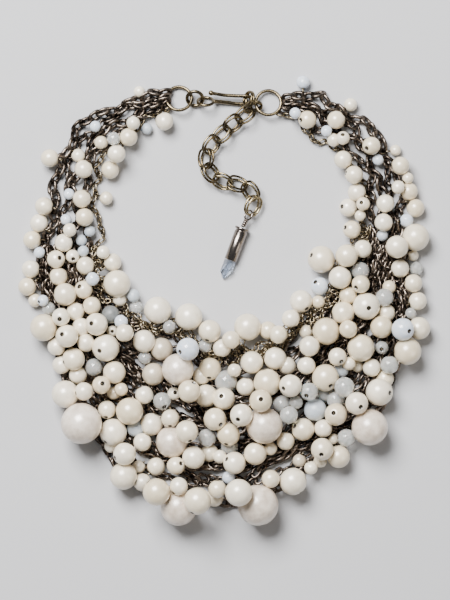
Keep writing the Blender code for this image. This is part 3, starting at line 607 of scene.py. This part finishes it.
def milky_glass(name, colour, veil, roughness, through, dents):
    """Pressed glass with a milky body."""
    # Light goes partly through it and scatters, so it glows softly; the milk lies in veils of
    # about 1.7 mm. Polished glass has a sharp highlight, and frosted glass a dull skin whose
    # grain is drawn at 0.8 mm so that it shows.
    finish, shader = new_finish(name)
    place = add_node(finish, "TexCoord", {}, "Object")
    # Where the painted shade of the drilled hole lies.
    hole = add_node(finish, "Attribute", {}, "Fac", attribute_name="hole")
    milk = {"Vector": place, "Scale": per_metre(1.67), "Detail": 5.0, "Roughness": 0.65}
    milk = add_node(finish, "TexNoise", milk)
    milk = {"Value": milk, "From Min": 0.42, "From Max": 0.62, "To Max": 0.5}
    milk = add_node(finish, "MapRange", milk)
    body = {"Factor": milk, MIX_FIRST: linear(colour), MIX_SECOND: linear(veil)}
    body = add_node(finish, "Mix", body, **COLOURS)
    # Painted shade: the hole's inside and lip are darkened to dark brown.
    drilled = {"Factor": hole, MIX_FIRST: body, MIX_SECOND: linear("3a342e")}
    body = add_node(finish, "Mix", drilled, **COLOURS)
    grains = {"Vector": place, "Scale": per_metre(0.83), "Detail": 3.0}
    grain = add_node(finish, "TexNoise", grains)
    relief = {"Height": grain, "Distance": dents, "Strength": 0.6}
    look = {
        "Base Color": body,
        "Roughness": roughness,
        "Transmission Weight": through,
        "IOR": 1.5,
        "Coat Weight": 0.4,
        "Coat Roughness": roughness,
        "Subsurface Weight": 0.2,
        "Subsurface Radius": (0.0015, 0.0018, 0.002),
        "Normal": add_node(finish, "Bump", relief),
    }
    set_inputs(shader, look)
    return finish


def aged_metal(name, worn, body, hollow, roughness, grain, dents=0.00003):
    """Copper alloy with an antique finish."""
    # Darkened in a bath and then rubbed: brown to nearly black in patches of about 4 mm, and
    # bright where it is worn. The scratches of the rubbing are drawn as a grain of 0.7 mm.
    finish, shader = new_finish(name)
    place = add_node(finish, "TexCoord", {}, "Object")
    tone = add_node(finish, "Attribute", {}, "Fac", attribute_name="tone")
    patches = {"Vector": place, "Scale": per_metre(3.85), "Detail": 4.0, "Roughness": 0.65}
    patch = add_node(finish, "TexNoise", patches)
    scratches = {"Vector": place, "Scale": per_metre(0.71), "Detail": 3.0, "Roughness": 0.6}
    scratch = add_node(finish, "TexNoise", scratches)
    dark = {"Value": patch, "From Min": 0.36, "From Max": 0.64}
    dark = add_node(finish, "MapRange", dark)
    shade = {"Factor": dark, MIX_FIRST: linear(body), MIX_SECOND: linear(hollow)}
    shade = add_node(finish, "Mix", shade, **COLOURS)
    rubbed = {"Value": scratch, "From Min": 0.48, "From Max": 0.72, "To Max": grain}
    rubbed = add_node(finish, "MapRange", rubbed)
    rubbed = {"Factor": rubbed, MIX_FIRST: shade, MIX_SECOND: linear(worn)}
    shade = add_node(finish, "Mix", rubbed, **COLOURS)
    wear = {"Value": tone, "From Min": 0.3, "To Max": 0.35}
    wear = add_node(finish, "MapRange", wear)
    wear = {"Factor": wear, MIX_FIRST: shade, MIX_SECOND: linear(worn)}
    shade = add_node(finish, "Mix", wear, **COLOURS)
    gloss = {
        "Value": scratch,
        "From Min": 0.3,
        "From Max": 0.7,
        "To Min": roughness - 0.15 * grain,
        "To Max": roughness + 0.25 * grain,
    }
    relief = {"Height": scratch, "Distance": dents, "Strength": 0.4}
    look = {
        "Base Color": shade,
        "Metallic": 1.0,
        "Roughness": add_node(finish, "MapRange", gloss),
        "Normal": add_node(finish, "Bump", relief),
    }
    set_inputs(shader, look)
    return finish


def polished_quartz():
    """Clear quartz, ground and polished to a point."""
    # The stone is clear and faintly blue, its faces are sharp and bright, and inner veils of
    # about 3 mm cloud it here and there.
    finish, shader = new_finish("polished_quartz")
    place = add_node(finish, "TexCoord", {}, "Object")
    veils = {"Vector": place, "Scale": per_metre(3.3), "Detail": 5.0, "Roughness": 0.6}
    veil = add_node(finish, "TexNoise", veils)
    veil = {"Value": veil, "From Min": 0.52, "From Max": 0.8}
    veil = add_node(finish, "MapRange", veil)
    gloss = {"Value": veil, "To Min": 0.01, "To Max": 0.08}
    body = {"Factor": veil, MIX_FIRST: linear("dde7f6"), MIX_SECOND: linear("ffffff")}
    look = {
        "Base Color": add_node(finish, "Mix", body, **COLOURS),
        "Roughness": add_node(finish, "MapRange", gloss),
        "Transmission Weight": 0.95,
        "IOR": 1.54,
        "Coat Weight": 0.6,
    }
    set_inputs(shader, look)
    return finish


def matt_board():
    """Pale board under the object."""
    # Smooth card, matt and evenly pale.
    finish, shader = new_finish("matt_board")
    look = {"Base Color": linear("c2c2c4"), "Roughness": 0.85, "Specular IOR Level": 0.2}
    set_inputs(shader, look)
    return finish


def fan_end(ring_place, side, share):
    """Where a strand ends beside an end ring; side is -1 at the left ring and 1 at the right."""
    angle = FAN_INNER + (FAN_OUTER - FAN_INNER) * share
    reach = END_RING_DIAMETER / 2 - END_RING_WIRE + DARK_LINK[0] / 2 - DARK_LINK[2]
    return on_plan(*ring_place[:2]) + Vector((side * math.cos(angle), -math.sin(angle), 0)) * reach


def route_line(share):
    """The middle line of the strand at a share of the way from the inner to the outer one."""
    knots = [fan_end(LEFT_RING_PLACE, -1, share)]
    for inner_x, inner_y, outer_x, outer_y in STRAND_ROUTE:
        knots.append(on_plan(inner_x, inner_y).lerp(on_plan(outer_x, outer_y), share))
    knots.append(fan_end(RIGHT_RING_PLACE, 1, share))
    return smooth_curve(knots, STRETCH_PARTS)


def lay_down(line, at_rings):
    """The line as the chain lies: it wanders a little, and comes down from the end rings."""
    phase = chance.uniform(0, math.tau)
    ahead = line[1:] + [line[-1] * 2 - line[-2]]
    laid = []
    for index, (point, after) in enumerate(zip(line, ahead)):
        across = Vector((point.y - after.y, after.x - point.x, 0)).normalized()
        sway = math.sin(index * LONG_WAVE + phase)
        sway += 0.6 * math.sin(index * SHORT_WAVE + 2.3 * phase)
        rise = RISE * math.sin(index * RISE_WAVE + 1.7 * phase)
        end = min(index, len(line) - 1 - index) / STRETCH_PARTS
        hold = max(0.0, 1 - end) if at_rings else 0.0
        level = STRAND_HEIGHT + rise + (RING_LEVEL - STRAND_HEIGHT) * hold
        flat = point + across * (WANDER * sway * (1 - hold))
        laid.append(Vector((flat.x, flat.y, level)))
    return laid


def bib_line(inner, outer, share):
    """A chain that leaves the next strand, hangs at its share of the bib and joins it again."""
    first, last = (round(part * len(inner)) for part in BIB_STRETCH)
    beside = share + 0.5 / (STRAND_COUNT - 1)
    line = []
    for index in range(first, last):
        along = (index - first) / (last - first)
        away = min(1.0, min(along, 1 - along) * 6)
        line.append(inner[index].lerp(outer[index], beside + (share - beside) * away))
    return line


def floored(shape, placing):
    """The placing, raised until the shape is clear of the floor."""
    lowest = (shape.points @ np.array(placing)[2, :3]).min() + placing[2][3]
    return Matrix.Translation((0, 0, max(0.0, -lowest))) @ placing


def places_along(line, step):
    """Points and headings one step apart along the line."""
    run = 0.0
    places = []
    for before, after in zip(line, line[1:]):
        stretch = (after - before).length
        while run <= stretch:
            places.append((before.lerp(after, run / stretch), (after - before).normalized()))
            run += step
        run -= stretch
    return places


def add_chain(pile, line, link, sway, twist):
    """Oval links along a line, each a little off its place and its turn."""
    length, width, wire = link
    shape = ring_shape(length, width, wire, along=14, around=7)
    for index, (point, along) in enumerate(places_along(line, length - 2 * wire + LINK_PLAY)):
        turn = math.atan2(along.y, along.x) + chance.uniform(-twist, twist)
        roll = LINK_ROLLS[index % 2] + chance.uniform(-twist, twist)
        lean = chance.uniform(-twist, twist) * 0.6
        sideways = (chance.uniform(-sway, sway), chance.uniform(-sway, sway))
        middle = point + Vector((*sideways, chance.uniform(0, sway)))
        pile.add(shape, floored(shape, lying(middle, turn, roll, lean)), chance.random())


def top_over(points, x, y):
    """The highest of the points right over a place on the plan."""
    middle = on_plan(x, y)
    near = np.hypot(points[:, 0] - middle.x, points[:, 1] - middle.y) < PLUMB
    return points[near, 2].max() if near.any() else None


class Heap:
    """The placed beads with their layers, and the height of the next one among them."""

    def __init__(self, lines):
        thick = DARK_LINK[1] * 0.3
        chain = [(*point, thick, -1) for line in lines for point in line[::4]]
        self.balls = np.array(chain)

    def add(self, middle, radius, layer):
        self.balls = np.vstack([self.balls, (*middle, radius, layer)])

    def height(self, middle, radius, layer):
        """The lowest free height below higher layers, or else where the bead presses least."""
        flat = np.hypot(self.balls[:, 0] - middle.x, self.balls[:, 1] - middle.y)
        near = self.balls[flat < self.balls[:, 3] + radius]
        if not len(near):
            return radius
        flat = flat[flat < self.balls[:, 3] + radius]
        over = near[near[:, 4] > layer, 2]
        under = near[near[:, 4] < layer, 2]
        top = max(radius, min(CEILING, over.min() - BELOW_NEXT if len(over) else CEILING))
        bottom = min(top, max(radius, under.max() + OVER_LAST if len(under) else radius))
        levels = np.linspace(bottom, top, HEAP_LEVELS)
        away = np.hypot(flat[None, :], levels[:, None] - near[:, 2][None, :])
        press = (near[:, 3] + radius - away).max(axis=1)
        free = np.nonzero(press < PRESS)[0]
        return levels[free[0]] if len(free) else levels[press.argmin()]


@dataclass
class Bead:
    """One bead, with its hole where that is in sight, and its node where it has one."""

    middle: Vector
    radius: float
    layer: int
    kind: str
    hole: Vector | None = None
    node: str | None = None


def main_beads(frame):
    """The beads that are nodes of their own, where their solids are."""
    holes = {node: on_plan(x, y) for node, x, y in MAIN_HOLES}
    beads = []
    for entry in frame["record"]["subparts"]:
        node = entry["node"]
        if node.startswith("pearl_"):
            low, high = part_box(node)
            kind = MAIN_KINDS[entry["material_slot"]]
            layer = int(MAIN_LAYERS[int(node.removeprefix("pearl_")) - 1])
            middle = (low + high) / 2
            beads.append(Bead(middle, (high.z - low.z) / 2, layer, kind, holes.get(node), node))
    return beads


def small_beads(frame, heap):
    """The charted beads: where the strands' solids have them, or else settled among them."""
    solids = [frame["nodes"][f"strand_{index + 1}"] for index in range(STRAND_COUNT)]
    points = np.concatenate([[vert.co for vert in solid.data.vertices] for solid in solids])
    beads = []
    waiting = []
    for x, y, size, layer, *more in BEADS:
        kind = more.pop() if more and more[-1] in KINDS else PLAIN
        hole = on_plan(*more) if more else None
        bead = Bead(on_plan(x, y), size / 2000, layer, kind, hole)
        top = top_over(points, x, y)
        if top is not None and top > STRAND_HEIGHT * 2 + BEAD_RISE:
            bead.middle.z = top - bead.radius
            heap.add(bead.middle, bead.radius, layer)
        else:
            waiting.append((layer, -size, len(waiting), bead))
        beads.append(bead)
    for layer, _, _, bead in sorted(waiting, key=lambda entry: entry[:3]):
        bead.middle.z = heap.height(bead.middle, bead.radius, layer)
        heap.add(bead.middle, bead.radius, layer)
    return beads


def nearest_link(bead, links):
    """Where the bead's pin is hung."""
    away = np.linalg.norm(links - np.array(bead.middle), axis=1)
    return Vector(links[away.argmin()])


def drill_axis(bead, anchor):
    """The direction in which the bead's pin leaves it, towards the chain."""
    if bead.hole is not None:
        out = (bead.hole - bead.middle) / bead.radius
        out.z = 0
        out *= min(1.0, 0.96 / max(out.length, 1e-6))
        out.z = math.sqrt(max(0.0, 1 - out.length_squared))
        return -out
    level = anchor - bead.middle
    level.z = 0
    if level.length < bead.radius * 0.3:
        level = Vector((chance.uniform(-1, 1), chance.uniform(-1, 1), 0))
    level.normalize()
    level.z = HOLE_TILT
    return level.normalized()


def add_pin(pile, bead, axis, anchor, eye, head):
    """The head pin: its head in one end of the bead, its wire out of the other, and its eye."""
    head_middle = bead.middle - axis * (bead.radius - PIN_HEAD_DEPTH)
    pile.add(head, aimed(head_middle, -axis), chance.uniform(0, 0.3))
    start = bead.middle + axis * (bead.radius * 0.9)
    reach = anchor - start
    if reach.length > PIN_REACH:
        return
    leads_there = (anchor - bead.middle).normalized().dot(axis) > 0.6
    bend = start + axis * (min(PIN_BEND, reach.length / 2) if leads_there else 0.0)
    wire = smooth_curve([start, bend, anchor], 4)
    for point in wire:
        point.z = max(point.z, PIN_WIRE / 2)
    pile.add(tube_shape(wire, [PIN_WIRE / 2] * len(wire), 6), None, chance.random())
    last = anchor - bend
    placing = lying(anchor, math.atan2(last.y, last.x), chance.uniform(0.5, 1.3))
    pile.add(eye, floored(eye, placing), chance.random())


def build_beads(beads, finishes, links):
    """Each main bead as a piece, the small beads as one piece for each kind, and all the pins."""
    shapes = {}
    pins = Pile()
    eye = ring_shape(PIN_EYE, PIN_EYE, PIN_WIRE, along=10, around=6)
    head_profile = [
        (0, PIN_HEAD_HEIGHT),
        (PIN_HEAD * 0.3, 0.00025),
        (PIN_HEAD / 2, 0),
        (PIN_HEAD * 0.3, -0.0002),
        (0, -PIN_HEAD_HEIGHT),
    ]
    head = turned_shape(head_profile, 8)
    piles = {}
    for bead in beads:
        key = round(bead.radius, 5)
        if key not in shapes:
            detail = LARGE_DETAIL if bead.radius > LARGE_BEAD else SMALL_DETAIL
            shapes[key] = bead_shape(bead.radius, *detail)
        anchor = nearest_link(bead, links)
        axis = drill_axis(bead, anchor)
        tone = chance.random()
        add_pin(pins, bead, axis, anchor, eye, head)
        pile = Pile() if bead.node else piles.setdefault(bead.kind, Pile())
        pile.add(shapes[key], aimed(bead.middle, -axis), tone)
        if bead.node:
            look = finishes["silver" if bead.radius > SILVER_RADIUS else bead.kind]
            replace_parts(pile.make(bead.node + "_bead", look, KINDS[bead.kind][1]), bead.node)
    for kind, pile in piles.items():
        name, slot = KINDS[kind]
        pile.make("small_beads_" + name, finishes[kind], slot)
    return pins


def build_chains(strands, bib_chains, bronze, brass):
    """The strands' links, the chains between them, and finer chain along the bib's inner edge."""
    for index, line in enumerate(strands):
        pile = Pile()
        add_chain(pile, line, STRAND_LINKS[index], STRAND_SWAY, STRAND_TWIST)
        name = f"strand_{index + 1}"
        piece = pile.make(name + "_links", bronze if index else brass)
        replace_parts(piece, name)
    pile = Pile()
    for line in bib_chains:
        add_chain(pile, line, DARK_LINK, BIB_SWAY, LOOSE_TWIST)
    pile.make("bib_chains", bronze)
    pile = Pile()
    inner = strands[0]
    first, last = (round(part * len(inner)) for part in BIB_STRETCH)
    for turn in range(FINE_CHAINS):
        phase = turn * FINE_PHASE
        line = []
        for index in range(first, last):
            along = inner[index + 1] - inner[index]
            across = Vector((-along.y, along.x, 0)).normalized()
            sway = FINE_LONG_SWAY * math.sin(index * FINE_LONG_WAVE + phase)
            sway += FINE_SHORT_SWAY * math.sin(index * FINE_SHORT_WAVE + 2 * phase)
            rise = FINE_LEVEL + FINE_RISE * math.sin(index * FINE_RISE_WAVE + phase)
            line.append(inner[index] + across * sway + Vector((0, 0, rise)))
        add_chain(pile, line, FINE_LINK, FINE_SWAY, LOOSE_TWIST)
    pile.make("fine_chain", brass)


def build_rings(metal):
    """The end rings and the jump ring."""
    rings = (
        ("ring_left", LEFT_RING_PLACE, END_RING_DIAMETER, END_RING_WIRE),
        ("ring_right", RIGHT_RING_PLACE, END_RING_DIAMETER, END_RING_WIRE),
        ("clasp_jump_ring", JUMP_RING_PLACE, JUMP_RING_DIAMETER, JUMP_RING_WIRE),
    )
    for name, place, diameter, wire in rings:
        pile = Pile()
        ring = ring_shape(diameter, diameter, wire, along=48, around=16)
        pile.add(ring, clasp_placing(place))
        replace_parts(pile.make(name + "_wire", metal), name)


def build_hook(metal):
    """The hook: a wire eye, a shank that runs round the bend and thins, and a ball tip."""
    pile = Pile()
    eye_placing = clasp_placing(HOOK_EYE_PLACE)
    eye = ring_shape(HOOK_EYE_DIAMETER, HOOK_EYE_DIAMETER, HOOK_EYE_WIRE, along=40, around=12)
    pile.add(eye, eye_placing)
    start = eye_placing @ Vector(((HOOK_EYE_DIAMETER - HOOK_EYE_WIRE) / 2, 0, 0))
    knots = [start]
    for x, y in HOOK_OUTLINE:
        flat = on_plan(x + HOOK_SHIFT[0], y + HOOK_SHIFT[1])
        off_axis = (HOOK_AXIS_Y - y) * SQUARE
        flat.y += off_axis * (math.cos(HOOK_ROLL) - 1)
        flat.z = HOOK_HEIGHT + off_axis * math.sin(HOOK_ROLL)
        knots.append(flat)
    knots[1] = (knots[1] + start) / 2
    path = smooth_curve(knots, 6)
    radii = np.linspace(HOOK_WIRE / 2, HOOK_END_RADIUS, len(path))
    pile.add(tube_shape(path, list(radii), 14))
    profile = []
    for row in range(HOOK_TIP_ROWS + 1):
        angle = math.pi * row / HOOK_TIP_ROWS
        tip = HOOK_TIP_DIAMETER / 2
        profile.append((tip * math.sin(angle), tip * math.cos(angle)))
    pile.add(turned_shape(profile, 20), Matrix.Translation(path[-1]))
    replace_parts(pile.make("hook_wire", metal), "hook_clasp")


def extension_middles():
    """The links' middles, at equal steps along the route."""
    step = PAIR_STEP - PAIR_OVERLAP
    route = smooth_curve([on_plan(x, y) for x, y in EXTENSION_ROUTE], 200)
    onward = (route[-1] - route[-2]).normalized()
    middles = [route[0]]
    for point in route:
        if (point - middles[-1]).length >= step:
            middles.append(point)
    while len(middles) < len(EXTENSION_ROUTE):
        middles.append(middles[-1] + onward * step)
    return middles[: len(EXTENSION_ROUTE)]


def add_pair(pile, placing, size):
    """Two rings side by side, fanned a little."""
    length, width, wire, spread = size
    ring = ring_shape(length, width, wire, along=36, around=10)
    for side in (-1, 1):
        shift = Matrix.Translation((0, 0, side * spread / 2))
        fan = Matrix.Rotation(side * chance.uniform(0.02, 0.09), 4, "Y")
        pile.add(ring, placing @ shift @ fan, chance.uniform(0, 1))


def build_extension(metal):
    """The extension chain and the clasp's double links. It gives the middle of the last link."""
    pile = Pile()
    middles = extension_middles()
    befores = [middles[0] * 2 - middles[1], *middles]
    afters = [*middles[1:], middles[-1] + level_way(LOOP_HEADING)]
    for index, (before, middle, after) in enumerate(zip(befores, middles, afters)):
        along = after - (middle if index == len(middles) - 1 else before)
        roll = -PAIR_ROLL if index % 2 else PAIR_ROLL
        centre = Vector((middle.x, middle.y, PAIR_HEIGHT))
        placing = lying(centre, math.atan2(along.y, along.x), roll)
        add_pair(pile, placing, PAIR_SIZE)
    add_pair(pile, clasp_placing(HOOK_LINK_PLACE), HOOK_LINK_SIZE)
    add_pair(pile, clasp_placing(RING_LINK_PLACE), RING_LINK_SIZE)
    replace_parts(pile.make("extension_links", metal), "extension_chain")
    return Vector((middles[-1].x, middles[-1].y, PAIR_HEIGHT))


def build_drop(last_link, metal, frame, quartz):
    """The wrapped wire and the casing. The crystal's solid has its real shape and stays."""
    link_hole_end = PAIR_STEP / 2 - PAIR_WIRE
    wire_reach = DROP_EYE_DIAMETER - 1.5 * DROP_WIRE + WRAP_LENGTH
    rim = last_link + level_way(LOOP_HEADING) * (link_hole_end + wire_reach)
    rim.z = RIM_DIAMETER / 2
    mouth = rim + level_way(CASING_HEADING) * CASING_LENGTH
    mouth.z = CASING_DIAMETER / 2 + CASING_LIFT
    outer = CASING_DIAMETER / 2
    bore = outer - CASING_WALL
    edge = RIM_DIAMETER / 2
    soft = SOFT_EDGE
    # From the floor of the bore over the mouth, down the wall, into the groove, round the rim.
    profile = [
        (0, CASING_LENGTH - CASING_BORE_DEPTH),
        (bore, CASING_LENGTH - CASING_BORE_DEPTH),
        (bore, CASING_LENGTH - soft),
        (bore + soft, CASING_LENGTH),
        (outer - soft, CASING_LENGTH),
        (outer, CASING_LENGTH - soft),
        (outer, RIM_HEIGHT * 2.2),
        (outer * 0.9, RIM_HEIGHT * 1.9),
        (outer * 0.88, RIM_HEIGHT * 1.1),
        (edge - soft, RIM_HEIGHT),
        (edge, RIM_HEIGHT - soft),
        (edge, soft),
        (edge - soft, 0),
        (edge * 0.5, 0),
        (edge * 0.47, 0.0001),
        (0, 0.0001),
    ]
    pile = Pile()
    pile.add(turned_shape(profile, 40), aimed(rim, mouth - rim))
    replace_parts(pile.make("casing_shell", metal, "polished_brass"), "drop_casing")
    eye_radius = (DROP_EYE_DIAMETER - DROP_WIRE) / 2
    to_rim = (rim - last_link).normalized()
    eye = last_link + to_rim * (link_hole_end - CLEARANCE - DROP_WIRE / 2 + eye_radius)
    foot = rim - to_rim * CLEARANCE
    wrap_length = (foot - eye).length - eye_radius
    pile = Pile()
    heading = math.atan2(to_rim.y, to_rim.x)
    loop = ring_shape(DROP_EYE_DIAMETER, DROP_EYE_DIAMETER, DROP_WIRE, along=32, around=10)
    pile.add(loop, lying(eye, heading, PAIR_ROLL + DROP_EYE_TURN))
    coil = []
    coil_radius = (WRAP_DIAMETER - DROP_WIRE) / 2
    steps = WRAP_TURNS * TURN_PARTS
    for step in range(steps + 1):
        angle = math.tau * step / TURN_PARTS
        rise = DROP_WIRE / 2 + (wrap_length - DROP_WIRE) * step / steps
        coil.append(Vector((coil_radius * math.cos(angle), coil_radius * math.sin(angle), rise)))
    pile.add(tube_shape(coil, [DROP_WIRE / 2] * len(coil), 8), aimed(foot, eye - foot))
    thick = DROP_WIRE / 2
    core = turned_shape([(0, wrap_length), (thick, wrap_length), (thick, 0), (0, 0)], 10)
    pile.add(core, aimed(foot, eye - foot))
    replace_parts(pile.make("drop_wraps", metal, "polished_brass"), "drop_wire")
    crystal = frame["nodes"]["drop_crystal"]
    crystal.data.materials.clear()
    crystal.data.materials.append(quartz)


def add_floor():
    """A plain floor a hair under the object."""
    mesh = bmesh.new()
    bmesh.ops.create_grid(mesh, x_segments=1, y_segments=1, size=FLOOR_SIZE)
    data = bpy.data.meshes.new("floor")
    mesh.to_mesh(data)
    mesh.free()
    data.materials.append(matt_board())
    floor = new_object("floor", data)
    floor.location.z = FLOOR_LEVEL


def add_light(name, place, size, power, colour):
    """A square soft light that faces the necklace."""
    light = bpy.data.lights.new(name, "AREA")
    light.size = size
    light.energy = power
    light.color = linear(colour)[:3]
    lamp = new_object(name, light)
    lamp.location = place
    lamp.rotation_euler = (-Vector(place)).to_track_quat("-Z", "Y").to_euler()


def add_sky():
    """A weak, even light from all round."""
    world = bpy.data.worlds.new("studio")
    world.use_nodes = True
    background = world.node_tree.nodes["Background"]
    background.inputs["Color"].default_value = linear(SKY_COLOUR)
    background.inputs["Strength"].default_value = SKY_STRENGTH
    bpy.context.scene.world = world


def add_camera():
    """Straight above, with the picture's height fitted to the plan at the beads' level."""
    data = bpy.data.cameras.new("camera")
    data.sensor_width = SENSOR
    data.lens = SENSOR * CAMERA_DISTANCE / VIEW_HEIGHT
    data.clip_start = 0.1
    camera = new_object("camera", data)
    camera.location = on_plan(*VIEW_MIDDLE, BEAD_LEVEL + CAMERA_DISTANCE)
    bpy.context.scene.camera = camera


def main():
    for item in list(bpy.data.objects):
        bpy.data.objects.remove(item, do_unlink=True)
    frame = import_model()
    # Colours where worn, of the body and in the hollows, then roughness, grain and dents.
    bronze = aged_metal("dark_bronze", "b3a496", "3f362f", "181411", 0.3, 0.5)
    clasp = aged_metal("clasp_bronze", "cbbb98", "61533d", "2b241a", 0.26, 0.3)
    brass = aged_metal("antique_brass", "cfc1a6", "6f624c", "332b21", 0.28, 0.45)
    link_brass = aged_metal("extension_brass", "d6c7a1", "6c5d42", "30281b", 0.24, 0.3)
    bright = aged_metal("casing_brass", "cdc5bd", "847a72", "6e655e", 0.22, 0.1, 0.000003)
    quartz = polished_quartz()
    # Lacquer: colours of a light bead, of a warm one and of the coat, then the clouds' depth.
    # Glass: colours of the body and of the milk, then roughness, clearness and dents.
    finishes = {
        "p": lacquer("ivory_pearl", "fffaf0", "ece0c8", "fcf7eb", 0.35),
        "w": lacquer("white_pearl", "f3efe6", "d7cdbd", "f5efe3", 0.5),
        "o": milky_glass("opal_glass", "eef4fd", "c6d7ef", 0.12, 0.2, 0.00001),
        "f": milky_glass("frosted_glass", "ced6dd", "abb6c1", 0.4, 0.15, 0.00008),
        "g": milky_glass("grey_glass", "7c7e7d", "565958", 0.45, 0.1, 0.00008),
        "c": milky_glass("clear_glass", "fffffb", "cfd1cc", 0.05, 0.65, 0.00001),
        "silver": lacquer("silver_pearl", "f9f3ec", "ebe2d8", "faf3ea", 0.8),
    }
    routes = [route_line(index / (STRAND_COUNT - 1)) for index in range(STRAND_COUNT)]
    strands = [lay_down(route, True) for route in routes]
    inner, outer = routes[0], routes[-1]
    bib_chains = [lay_down(bib_line(inner, outer, part / 100), False) for part in BIB_CHAINS]
    build_chains(strands, bib_chains, bronze, brass)
    heap = Heap(strands)
    beads = main_beads(frame)
    for bead in beads:
        heap.add(bead.middle, bead.radius, bead.layer)
    beads += small_beads(frame, heap)
    links = np.array([point for line in strands + bib_chains for point in line[::3]])
    pins = build_beads(beads, finishes, links)
    pins.make("head_pins", brass)
    build_rings(clasp)
    build_hook(clasp)
    last_link = build_extension(link_brass)
    build_drop(last_link, bright, frame, quartz)
    add_floor()
    for light in LIGHTS:
        add_light(*light)
    add_sky()
    add_camera()


main()
